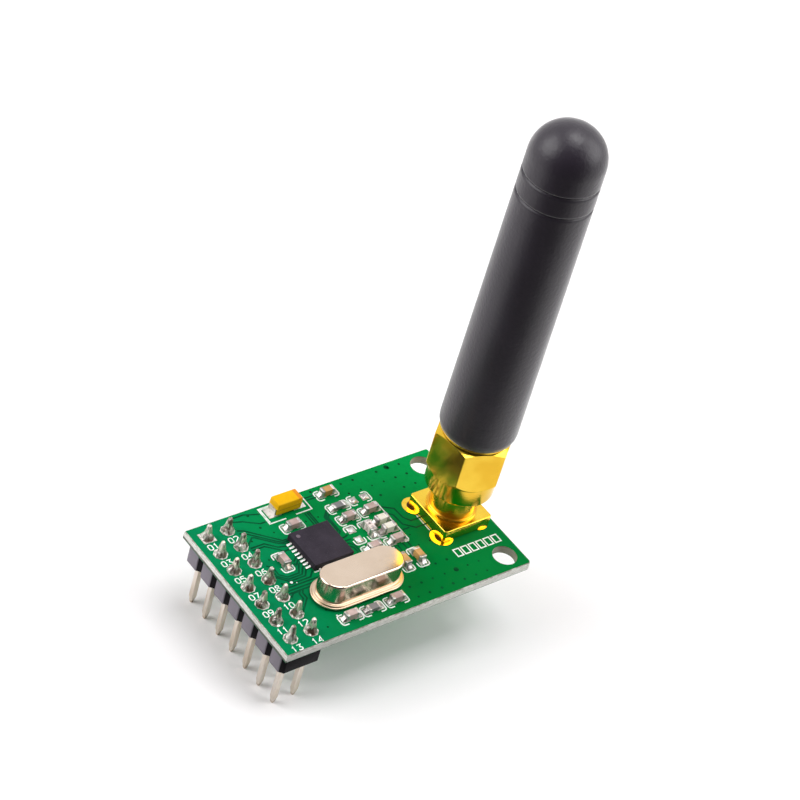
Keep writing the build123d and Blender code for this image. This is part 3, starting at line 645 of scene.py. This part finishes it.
# Solder on the header pins. Each joint is a cone of tin drawn up the pin by hand, so no
# two are alike: they lean, ripple and carry spots of brown flux at the foot.
land_top = 3.59
cones = bmesh.new()
cone_height = 1.8
cone_profile = [
    (0, 0), (0.67, 0), (0.67, 0.03), (0.62, 0.08), (0.6, 0.2), (0.55, 0.35), (0.47, 0.5),
    (0.38, 0.66), (0.31, 0.82), (0.27, 1.0), (0.25, 1.25), (0.24, 1.5), (0.225, 1.66), (0.17, 1.77),
    (0.1, cone_height), (0, cone_height),
]
for number, (a, b) in enumerate(pin_places):
    tall = 1 + 0.07 * sin(2.7 * number)
    wide = 1 + 0.05 * sin(1.9 * number + 1)
    profile = [(r * (wide if h < 0.7 else 1), land_top + h * tall) for r, h in cone_profile]
    made = add_turned(cones, profile, (a, b), 28)
    turn_outwards(cones)
    for vert in made:
        height = (vert.co.z - land_top) / cone_height
        away = Vector((vert.co.x - a, vert.co.y - b, 0))
        if away.length < 0.02 or height < 0.01:
            continue
        angle = noise.noise(Vector((vert.co.x * 2.2, vert.co.y * 2.2, vert.co.z * 0.9 + 5 * number)))
        square = max(abs(away.x), abs(away.y)) / away.length
        squared = 1 + (0.5 * (1 / square - 1)) * min(1, max(0, height - 0.35) * 2)
        vert.co += away * (0.3 * angle * (1 - 0.6 * height)) + away * (squared - 1) * 0.8
        vert.co.x += 0.05 * height * sin(3.1 * number)
        vert.co.y += 0.05 * height * cos(2.3 * number)
cone_finish, place = new_finish("hand_solder")
ripple = place.noise(0.9, 3, 0.55)
streak = place.noise(2.2, 3, 0.6, stretch=(1, 1, 0.3))
flux = place.noise(0.75, 2, 0.4)
low = place.parts()[2].rise(land_top + 0.9, land_top + 0.1)
colour = streak.rise(0.42, 0.62).between(rgb(128, 116, 106), rgb(236, 230, 224))
colour = (flux.rise(0.5, 0.6) * low * 0.8).between(colour, rgb(88, 56, 34))
set_surface(cone_finish, colour, 0.3 + 0.2 * streak, ripple + 0.7 * streak, 0.3, metallic=0.85)
add_piece("pin_solder", cones, cone_finish, "tin", "header_solder", sharp=80)

# Radio chip. A flat square of dark moulded epoxy with its contacts under its edges, each
# wetted by a small fillet of solder that shows beside the body.
chip_x = board_middle - 4.25
chip_y = 1.55
chip_half = 2.49
chip_top = land_top + 0.85
chip_body = bmesh.new()
add_post(chip_body, (chip_x, chip_y), (chip_half, chip_half), land_top + 0.03, chip_top)
soften(chip_body, 0.045, 3)
chip_finish, place = new_finish("moulded_epoxy")
speck = place.noise(7.0, 2, 0.6)
patch = place.noise(0.45, 3)
x, y, z = place.parts()
dimple = 1 - (x - chip_x + 1.75).reach(y - chip_y - 1.75).rise(0.2, 0.27)
colour = patch.rise(0.3, 0.7).between(rgb(45, 40, 49), rgb(56, 50, 60))
colour = (speck.rise(0.55, 0.8) * 0.35).between(colour, rgb(92, 86, 94))
colour = (0.7 * dimple).between(colour, rgb(128, 116, 126))
set_surface(chip_finish, colour, 0.52 + 0.14 * speck, speck - 3.0 * dimple, 0.02, specular=0.12)
add_piece("chip_body", chip_body, chip_finish, "chip_plastic", "radio_chip_body")


def add_fillet(shape, place, length, width, height, cuts=3):
    """Adds a slope of solder that runs down along +X from a face, with a hollow front."""
    slope = bmesh.new()
    add_block(slope, (0, -width / 2, 0), (length, width / 2, height))
    bmesh.ops.subdivide_edges(slope, edges=slope.edges, cuts=cuts, use_grid_fill=True)
    for vert in slope.verts:
        along = max(0, vert.co.x / length)
        drop = 1 - 0.92 * along ** 0.7
        pinch = 1 - 0.12 * along - 0.15 * (vert.co.z / height)
        vert.co.z *= drop
        vert.co.y *= pinch
        bulge = 1 - (2 * abs(vert.co.y) / width) ** 2
        vert.co.z *= 0.82 + 0.18 * bulge
        vert.co = place @ vert.co
    mesh = bpy.data.meshes.new("slope")
    slope.to_mesh(mesh)
    slope.free()
    shape.from_mesh(mesh)
    bpy.data.meshes.remove(mesh)


contact_pitch = 0.5
joints = bmesh.new()
for side in range(4):
    chip_side = Matrix.Translation((chip_x, chip_y, 0)) @ Matrix.Rotation(side * pi / 2, 4, "Z")
    for number in range(8):
        along = (number - 3.5) * contact_pitch
        spot = chip_side @ Matrix.Translation((chip_half - 0.005, along, land_top))
        add_fillet(joints, spot, length=0.54, width=0.3, height=0.11, cuts=2)
solder_finish, place = new_finish("reflowed_solder")
ripple = place.noise(1.8, 2, 0.5)
shine = place.noise(0.9, 2)
colour = shine.rise(0.35, 0.7).between(rgb(158, 150, 146), rgb(236, 233, 230))
set_surface(solder_finish, colour, 0.2 + 0.2 * shine, ripple, 0.1, metallic=0.9)
bright_finish, place = new_finish("bright_contacts")
ripple = place.noise(1.4, 2)
colour = ripple.rise(0.3, 0.7).between(rgb(236, 235, 233), rgb(252, 251, 250))
set_surface(bright_finish, colour, 0.35 + 0.1 * ripple, ripple, 0.02, metallic=0.6)
add_piece("chip_joints", joints, bright_finish, "tin", sharp=80)

# Crystal. A drawn nickel-silver can, resistance-welded by its flange to a base plate, so
# the foot has two rounded lips with a groove between them.
crystal_x = board_middle - 3.8
crystal_y = -4.45


def add_oval(shape, profile, straight, steps=56):
    """Adds a turned shape that is pulled apart along X, like a rounded bar."""
    made = add_turned(shape, profile, (crystal_x, crystal_y), steps, 180 / steps)
    turn_outwards(shape)
    for vert in made:
        vert.co.x += straight / 2 if vert.co.x > crystal_x else -straight / 2
    return made


def close_ring(shape, level):
    """Fills the opening at about one level."""
    rims = [edge for edge in shape.edges if edge.is_boundary]
    ring = [edge for edge in rims if abs(edge.verts[0].co.z - level) < 0.1]
    bmesh.ops.contextual_create(shape, geom=ring)
    turn_outwards(shape)


def arc(centre, radius, start, end, count=6):
    """Points of a rounded corner in a half section."""
    angles = [radians(start + (end - start) * step / count) for step in range(count + 1)]
    return [(centre[0] + radius * cos(a), centre[1] + radius * sin(a)) for a in angles]


# The flat ends are left open in the middle, to be pulled apart, and are closed afterwards.
open_radius = 0.6
base_low = land_top + 0.12
base_top = base_low + 0.28
base_length = 11.05
base_radius = 2.325
base_plate = bmesh.new()
profile = [(open_radius, base_low)]
profile += arc((base_radius - 0.13, base_low + 0.13), 0.13, -90, 0, 5)
profile += arc((base_radius - 0.1, base_top - 0.1), 0.1, 0, 90, 5) + [(open_radius, base_top)]
add_oval(base_plate, profile, base_length - 2 * base_radius)
close_ring(base_plate, base_low)
close_ring(base_plate, base_top)
can_finish, place = new_finish("drawn_nickel_silver")
drawn = place.noise(0.25, 3, 0.5, stretch=(1, 1, 4))
wear = place.noise(0.9, 4, 0.6)
colour = drawn.rise(0.3, 0.7).between(rgb(224, 203, 182), rgb(230, 210, 190))
colour = (wear.rise(0.62, 0.8) * 0.25).between(colour, rgb(205, 170, 128))
foot = place.parts()[2].rise(base_top + 0.5, base_top + 0.3)
colour = (0.5 * foot).between(colour, rgb(206, 178, 146))
set_surface(
    can_finish, colour, 0.15 + 0.08 * wear + 0.12 * foot,
    drawn + 0.2 * wear, 0.01, metallic=1.0,
)
add_piece("crystal_plate", base_plate, can_finish, "nickel_can", "crystal_base")
can_top = base_top + 2.5
can_length = 10.0
can_radius = 1.85
lip_radius = 2.205
can = bmesh.new()
profile = [(open_radius, base_top), (lip_radius - 0.015, base_top)]
profile += arc((lip_radius - 0.1, base_top + 0.1), 0.1, -30, 90, 5)
profile += [(can_radius + 0.13, base_top + 0.2)]
profile += arc((can_radius + 0.13, base_top + 0.33), 0.13, -90, -180, 4)
profile += arc((can_radius - 0.22, can_top - 0.22), 0.22, 0, 90, 8) + [(open_radius, can_top)]
for vert in add_oval(can, profile, can_length - 2 * can_radius):
    if vert.co.z > base_top + 1:
        vert.co.z -= 0.045 * (vert.co.y - crystal_y)
close_ring(can, base_top)
close_ring(can, can_top)
add_piece("crystal_cover", can, can_finish, "nickel_can", "crystal_can")

# Tantalum capacitor. A yellow epoxy block moulded in two halves round its folded straps,
# with a band of orange ink at its positive end.
tantalum_x = board_middle - 4.35
tantalum_low = land_top + 0.12
tantalum_top = tantalum_low + 1.5
tantalum_half = (1.6, 0.8)
block = bmesh.new()
add_post(block, (tantalum_x, far_row), tantalum_half, tantalum_low, tantalum_top)
seam = tantalum_low + 0.72
for level in (seam - 0.03, seam + 0.03):
    cut_level(block, level)
for vert in block.verts:
    share = abs(vert.co.z - seam) / (tantalum_top - tantalum_low) * 2
    vert.co.x = tantalum_x + (vert.co.x - tantalum_x) * (1 - 0.028 * share)
    vert.co.y = far_row + (vert.co.y - far_row) * (1 - 0.05 * share)
soften(block, 0.1, 3)
tantalum_finish, place = new_finish("yellow_epoxy")
speck = place.noise(4.0, 3, 0.6)
patch = place.noise(0.6, 3)
x, y, z = place.parts()
band = (x + 0.06 * patch).rise(tantalum_x + 1.02, tantalum_x + 1.14)
band = band * z.rise(tantalum_top - 0.3, tantalum_top - 0.12)
parting = 1 - abs(z - seam).rise(0.015, 0.05)
colour = patch.rise(0.3, 0.7).between(rgb(246, 184, 6), rgb(253, 198, 16))
colour = (0.85 * band).between(colour, rgb(240, 142, 40))
colour = (0.6 * parting).between(colour, rgb(140, 92, 6))
set_surface(tantalum_finish, colour, 0.34 + 0.14 * speck, speck - 2.0 * parting, 0.02, specular=0.12)
add_piece("tantalum_block", block, tantalum_finish, "tantalum_plastic", "tantalum_case")

# Chip capacitors, resistors and inductors. Fired ceramic bricks with dipped silver ends,
# which the solder climbs. They stand in the printed outlines, two of which carry no part,
# only a dome of solder on each land.
chip_half_length = 0.8
chip_half_width = 0.4
cap_length = 0.33
cap_finish, place = new_finish("dipped_silver_ends")
ripple = place.noise(2.0, 3, 0.6)
colour = ripple.rise(0.35, 0.65).between(rgb(150, 144, 142), rgb(214, 210, 208))
set_surface(cap_finish, colour, 0.3 + 0.2 * ripple, ripple, 0.06, metallic=0.9)


def chip_place(chip):
    """Where a chip sits, and how it is turned."""
    a, b, turn = chip
    return Matrix.Translation((board_middle + a, b, 0)) @ Matrix.Rotation(radians(turn), 4, "Z")


def add_caps(name, chips, height, node):
    """Adds the dipped ends of all the chips of one kind."""
    caps = bmesh.new()
    for chip in chips:
        for end in (1, -1):
            made = add_block(
                caps,
                (chip_half_length - cap_length, -chip_half_width, land_top),
                (chip_half_length, chip_half_width, land_top + height),
            )
            for vert in made:
                vert.co = chip_place(chip) @ Vector((end * vert.co.x, vert.co.y, vert.co.z))
    turn_outwards(caps)
    soften(caps, 0.075, 3)
    add_piece(name, caps, cap_finish, "tin", node, sharp=60)


add_caps("capacitor_ends", capacitors, 0.8, "capacitor_caps")
add_caps("resistor_ends", resistors, 0.45, "resistor_caps")
add_caps("inductor_ends", inductors, 0.9, "inductor_caps")


def ceramic(name, dark, light, roughness):
    """A fired ceramic of a given colour, slightly uneven."""
    finish, place = new_finish(name)
    grain = place.noise(3.5, 4, 0.6)
    patch = place.noise(0.7, 2)
    colour = patch.rise(0.3, 0.7).between(dark, light)
    colour = (grain.rise(0.55, 0.8) * 0.2).between(colour, rgb(120, 96, 88))
    set_surface(finish, colour, roughness + 0.12 * grain, grain, 0.02)
    return finish


pink_finish = ceramic("pink_ceramic_body", rgb(176, 150, 144), rgb(204, 180, 174), 0.42)
tan_finish = ceramic("tan_ceramic_body", rgb(196, 146, 86), rgb(214, 166, 104), 0.42)
white_finish = ceramic("white_ceramic_body", rgb(250, 244, 230), rgb(255, 252, 242), 0.4)
dress(pink_finish, *[f"capacitor_{number:02d}" for number in range(1, 12)])
dress(tan_finish, "capacitor_01", "capacitor_08", "capacitor_09")
dress(white_finish, "inductor_01", "inductor_02")
glaze_finish, place = new_finish("striped_resistor_glaze")
grain = place.noise(3.5, 4, 0.6)
stripe_pitch = 0.34
stripes = (place.parts()[1] - resistors[0][1]) * (2 * pi / stripe_pitch)
stripes = stripes.maths("COSINE").rise(0.55, 0.95)
colour = (0.6 * stripes).between(rgb(46, 46, 52), rgb(160, 158, 158))
set_surface(glaze_finish, colour, 0.3 + 0.12 * grain, grain, 0.02)
dress(glaze_finish, "resistor_01", "resistor_02")
splash_finish, place = new_finish("solder_splashed_ceramic")
splash = place.noise(2.2, 3, 0.6)
x, y, z = place.parts()
dot = (x - board_middle - inductors[2][0]).reach(y - inductors[2][1] - 0.18).rise(0.17, 0.09)
colour = splash.rise(0.34, 0.56).between(rgb(190, 170, 168), rgb(250, 238, 235))
colour = (0.8 * dot).between(colour, rgb(72, 52, 58))
set_surface(splash_finish, colour, 0.35 + 0.2 * splash, splash - dot, 0.08)
dress(splash_finish, "inductor_03")

fillets = bmesh.new()
for chips, height in ((capacitors, 0.55), (resistors, 0.36), (inductors, 0.55)):
    for number, chip in enumerate(chips):
        for end in (0, 180):
            turn = Matrix.Rotation(radians(end), 4, "Z")
            spot = chip_place(chip) @ turn @ Matrix.Translation((chip_half_length - 0.03, 0, land_top))
            tall = height * (1 + 0.12 * sin(5 * number + end))
            add_fillet(fillets, spot, length=0.42, width=0.8, height=tall)
add_piece("chip_fillets", fillets, solder_finish, "tin", "chip_solder", sharp=80)

pool_places = [(4.0, 5.95, 0), (0.4, 1.65, 90)]
pool_half = 0.43
pool_height = 0.17
pools = bmesh.new()
for chip in pool_places:
    for end in (0.75, -0.75):
        spot = chip_place(chip) @ Matrix.Translation((end, 0, land_top))
        made = bmesh.ops.create_uvsphere(pools, u_segments=20, v_segments=12, radius=1)["verts"]
        for vert in made:
            reach = max(abs(vert.co.x), abs(vert.co.y))
            grow = 0.25 + 0.75 * vert.co.xy.length / reach if reach > 0.01 else 1
            half = pool_half * grow
            height = max(0, vert.co.z) * pool_height
            vert.co = spot @ Vector((vert.co.x * half, vert.co.y * half, height))
bmesh.ops.remove_doubles(pools, verts=pools.verts, dist=0.0005)
turn_outwards(pools)
add_piece("solder_pools", pools, solder_finish, "tin", sharp=80)

# Coaxial connector. Turned and milled brass, plated with gold: a square flange with a
# low boss, a plain neck, and a threaded barrel that the antenna's nut covers.
flange_half = 3.2
flange_top = 5.09
body = bmesh.new()
add_post(body, connector, (flange_half, flange_half), land_top, flange_top)
upright = [edge for edge in body.edges if abs(edge.verts[0].co.z - edge.verts[1].co.z) > 1]
soften(body, 0.32, 4, upright)
soften(body, 0.09, 3)
leg_spots = [(connector[0] + a, b) for a in (-2.54, 2.54) for b in (-2.54, 2.54)]
leg_half = 0.475
for spot in leg_spots:
    add_post(body, spot, (leg_half, leg_half), board_bottom - 1.2, land_top + 0.05)
boss_top = flange_top + 0.3
boss_low = boss_top - 0.4
# The radii of its turned steps, with the levels of the thread, the rim and the bore.
boss = 2.78
neck = 2.55
thread_low = 8.45
thread_pitch = 0.7
crest = 3.175
groove = 2.85
barrel = 2.9
barrel_top = 12.99
bore = 2.31
bore_floor = 11.09
contact_hole = 0.64
profile = [(contact_hole, boss_low), (boss, boss_low)]
profile += arc((boss - 0.1, boss_top - 0.1), 0.1, 0, 90, 4)
profile += [(2.62, boss_top), (neck, boss_top + 0.07), (neck, thread_low - 0.3), (barrel, thread_low)]
for turn in range(6):
    start = thread_low + thread_pitch * turn
    profile += [(crest, start + 0.2), (crest, start + 0.3), (groove, start + 0.6), (groove, start + 0.7)]
profile += [
    (barrel, 12.8), (barrel, barrel_top), (bore, barrel_top), (bore, bore_floor),
    (contact_hole, bore_floor), (contact_hole, boss_low),
]
add_turned(body, profile, connector, 72)
turn_outwards(body)
shell_finish, place = new_finish("gold_plated_shell")
x, y, z = place.parts()
stain = place.noise(0.5, 3)
haze = place.noise(0.35, 3)
tarnish = (x - connector[0]).reach(y).rise(2.9, 2.6)
tarnish = tarnish * (z + 0.3 * stain).rise(boss_top + 2.6, boss_top + 0.2)
colour = haze.rise(0.35, 0.7).between(rgb(252, 214, 78), rgb(248, 198, 56))
colour = (0.6 * tarnish).between(colour, rgb(224, 146, 28))
set_surface(shell_finish, colour, 0.13 + 0.1 * haze + 0.12 * tarnish, stain, 0.006, metallic=1.0)
add_piece("connector_shell", body, shell_finish, "gold_plate", "connector_body")

# Coupling nut. A gold-plated hexagon, turned down to a round collar below and to a thin
# lip above, so that its flats end in arcs.
nut_low = 8.29
nut_top = 16.24
hex_low = nut_low + 2.3
collar = 3.75
corner = 4.5
half_across_flats = 3.85
first_flat = 68
nut_bore = 3.205
lip_bore = 3.0
lip_low = 13.7
nut = bmesh.new()
profile = [(nut_bore, nut_low), (collar - 0.3, nut_low)]
profile += arc((collar - 0.35, nut_low + 0.35), 0.35, -80, 0, 6)
profile += [
    (collar, hex_low), (corner, hex_low + 0.98), (corner, nut_top - 0.63),
    (collar, nut_top - 0.25), (collar - 0.02, nut_top - 0.06), (collar - 0.08, nut_top),
    (lip_bore, nut_top), (lip_bore, lip_low), (nut_bore, lip_low), (nut_bore, nut_low),
]
add_turned(nut, profile, connector, 120, 1.3)
turn_outwards(nut)
for side in range(6):
    facing = Matrix.Rotation(radians(first_flat + 60 * side), 3, "Z") @ Vector((1, 0, 0))
    cut = bmesh.ops.bisect_plane(
        nut,
        geom=nut.verts[:] + nut.edges[:] + nut.faces[:],
        plane_co=Vector((*connector, 0)) + facing * half_across_flats,
        plane_no=facing,
        clear_outer=True,
    )
    edges = [part for part in cut["geom_cut"] if isinstance(part, bmesh.types.BMEdge)]
    bmesh.ops.contextual_create(nut, geom=edges)
turn_outwards(nut)
uprights = [
    edge
    for edge in nut.edges
    if abs(edge.verts[0].co.z - edge.verts[1].co.z) > 0.5
    and radians(50) < edge.calc_face_angle(0) < radians(70)
    and min((vert.co.xy - Vector(connector)).length for vert in edge.verts) > 4.2
]
soften(nut, 0.42, 5, uprights)
add_piece("nut", nut, gold_finish, "gold_plate", "coupling_nut", sharp=12)

# Antenna sleeve. Black synthetic rubber moulded over the coil, slightly tapered, with two
# thin grooves under a hemispherical end.
sleeve_low = 16.34
sleeve_foot = 4.2
dome_level = 51.14
dome = 3.93


def sleeve_radius(level):
    """The tapered sleeve's radius at a level."""
    return sleeve_foot + (level - sleeve_low) / (dome_level - sleeve_low) * (dome - sleeve_foot)


sleeve = bmesh.new()
mouth = 3.37
groove_depth = 0.16
profile = [(mouth, sleeve_low + 0.7), (mouth, sleeve_low), (3.8, sleeve_low)]
profile += arc((3.82, sleeve_low + 0.22), 0.2, -85, -30, 4)
profile += [(4.1, sleeve_low + 0.45), (sleeve_radius(17.0) - 0.03, 17.0), (sleeve_radius(17.4), 17.4)]
for level in (dome_level - 4.3, dome_level - 1.9):
    radius = sleeve_radius(level)
    deep = radius - groove_depth
    profile += [
        (sleeve_radius(level - 0.4), level - 0.4), (radius, level - 0.24), (radius - 0.04, level - 0.15),
        (deep, level - 0.05), (deep, level + 0.05), (radius - 0.04, level + 0.15),
        (radius, level + 0.24), (sleeve_radius(level + 0.4), level + 0.4),
    ]
profile += arc((0, dome_level), dome, 0, 89, 22) + [(0, dome_level + dome)]
add_turned(sleeve, profile, connector, 96)
close_ring(sleeve, sleeve_low + 0.7)
rubber_finish, place = new_finish("moulded_rubber")
grain = place.noise(2.8, 4, 0.6)
patch = place.noise(0.12, 3)
dust = place.noise(0.5, 4, 0.7)
colour = patch.rise(0.3, 0.7).between(rgb(36, 29, 40), rgb(43, 36, 47))
set_surface(
    rubber_finish, colour, 0.3 + 0.1 * grain + 0.05 * dust,
    grain, 0.03, specular=0.5, sheen=1.0, sheen_roughness=0.32,
)
add_piece("rubber_sleeve", sleeve, rubber_finish, "sleeve_rubber", "antenna_sleeve", sharp=40)

# Underside. A few wide tracks cross the copper plane under the board, and the connector's
# legs, its contact and the crystal's leads end in hand-made cones of solder.
under_tracks = [
    [(-8.6, 7.6), (-6.4, 5.4), (-2.9, 5.4), (1.2, 1.3), (6.4, 1.3), (7.4, 0.5)],
    [(-8.6, 5.1), (-7.2, 3.7), (-4.4, 3.7), (-2.2, 1.5), (-2.2, -2.2)],
    [(-8.6, 2.5), (-6.0, 2.5), (-5.2, 1.7), (-5.2, -3.2)],
    [(-8.6, -2.5), (-7.6, -3.5), (-7.2, -3.5)],
    [(-8.6, -5.1), (-7.4, -6.3), (2.4, -6.3), (5.0, -3.7), (8.3, -3.7)],
    [(-8.6, -7.6), (-7.9, -8.3), (4.0, -8.3), (6.2, -6.1), (10.4, -6.1)],
    [(-1.0, 8.3), (1.6, 8.3), (4.4, 5.5), (8.6, 5.5)],
]
under_gaps = bmesh.new()
for number, points in enumerate(under_tracks):
    for side in (0, 1):
        shift = (side - 0.5) * 0.56
        path = [(board_middle + a + 0.4 * shift, b + shift) for a, b in points]
        draw_line(under_gaps, path, 0.16, board_bottom - 0.006 - line_step * (2 * number + side))
thicken(under_gaps, 0.008)
add_piece("underside_track_gaps", under_gaps, gap_finish, "solder_mask")

under_joints = bmesh.new()
joint_top = board_bottom - 0.05
joint_height = 0.8
lead_spots = [(crystal_x + a, crystal_y) for a in (-2.44, 2.44)]
for number, (spot, land, wire) in enumerate(
    [(spot, 1.25, 0.83) for spot in leg_spots]
    + [(connector, 1.0, 0.61)]
    + [(spot, 0.65, 0.375) for spot in lead_spots]
):
    profile = [(0, 0), (land, 0), (land, -0.03), (land - 0.04, -0.07)]
    for step in range(1, 8):
        drop = step / 7
        profile.append((wire + (land - wire) * (1 - drop) ** 1.7, -0.07 - 0.68 * drop))
    profile += [(wire - 0.06, -joint_height), (0, -joint_height)]
    profile = [(radius, joint_top + level) for radius, level in profile]
    for vert in add_turned(under_joints, profile, spot, 32):
        depth = (joint_top - vert.co.z) / joint_height
        away = Vector((vert.co.x - spot[0], vert.co.y - spot[1], 0))
        wave = noise.noise(Vector((vert.co.x * 1.6, vert.co.y * 1.6, vert.co.z + 4 * number)))
        vert.co += away * 0.16 * wave * min(1, 3 * depth) * (depth < 0.95)
turn_outwards(under_joints)
joined = ("connector_solder", "crystal_solder")
add_piece("underside_joints", under_joints, solder_finish, "tin", *joined, sharp=60)


# Inner parts. They are hidden, but each has the finish of its own material: glass beads,
# quartz, white insulators, a spring ring, a gasket, and a copper coil on its core.
def plain(name, dark, light, roughness, metallic, scale, *nodes):
    """Gives nodes a finish that is only slightly uneven."""
    finish, place = new_finish(name)
    patch = place.noise(scale, 3)
    colour = patch.rise(0.3, 0.7).between(dark, light)
    set_surface(finish, colour, roughness + 0.1 * patch, patch, 0.02, metallic=metallic)
    dress(finish, *nodes)


plain("glass_beads", rgb(60, 78, 84), rgb(84, 104, 110), 0.12, 0.0, 1.2, "crystal_seals")
plain("quartz_strip", rgb(214, 218, 220), rgb(236, 238, 238), 0.08, 0.0, 0.8, "crystal_blank")
insulators = ("connector_insulator", "plug_insulator")
plain("white_insulator", rgb(236, 234, 226), rgb(246, 245, 240), 0.4, 0.0, 0.9, *insulators)
plain("spring_bronze", rgb(196, 150, 96), rgb(214, 170, 116), 0.3, 1.0, 1.5, "snap_ring")
plain("gasket_rubber_ring", rgb(150, 56, 44), rgb(170, 66, 52), 0.6, 0.0, 1.4, "gasket")
plain("core_rod", rgb(220, 214, 196), rgb(232, 228, 212), 0.5, 0.0, 0.7, "coil_core")
dress(gold_finish, "plug_shell", "plug_pin")
plain("copper_wire", rgb(214, 128, 84), rgb(232, 146, 98), 0.25, 1.0, 0.9, "antenna_coil")
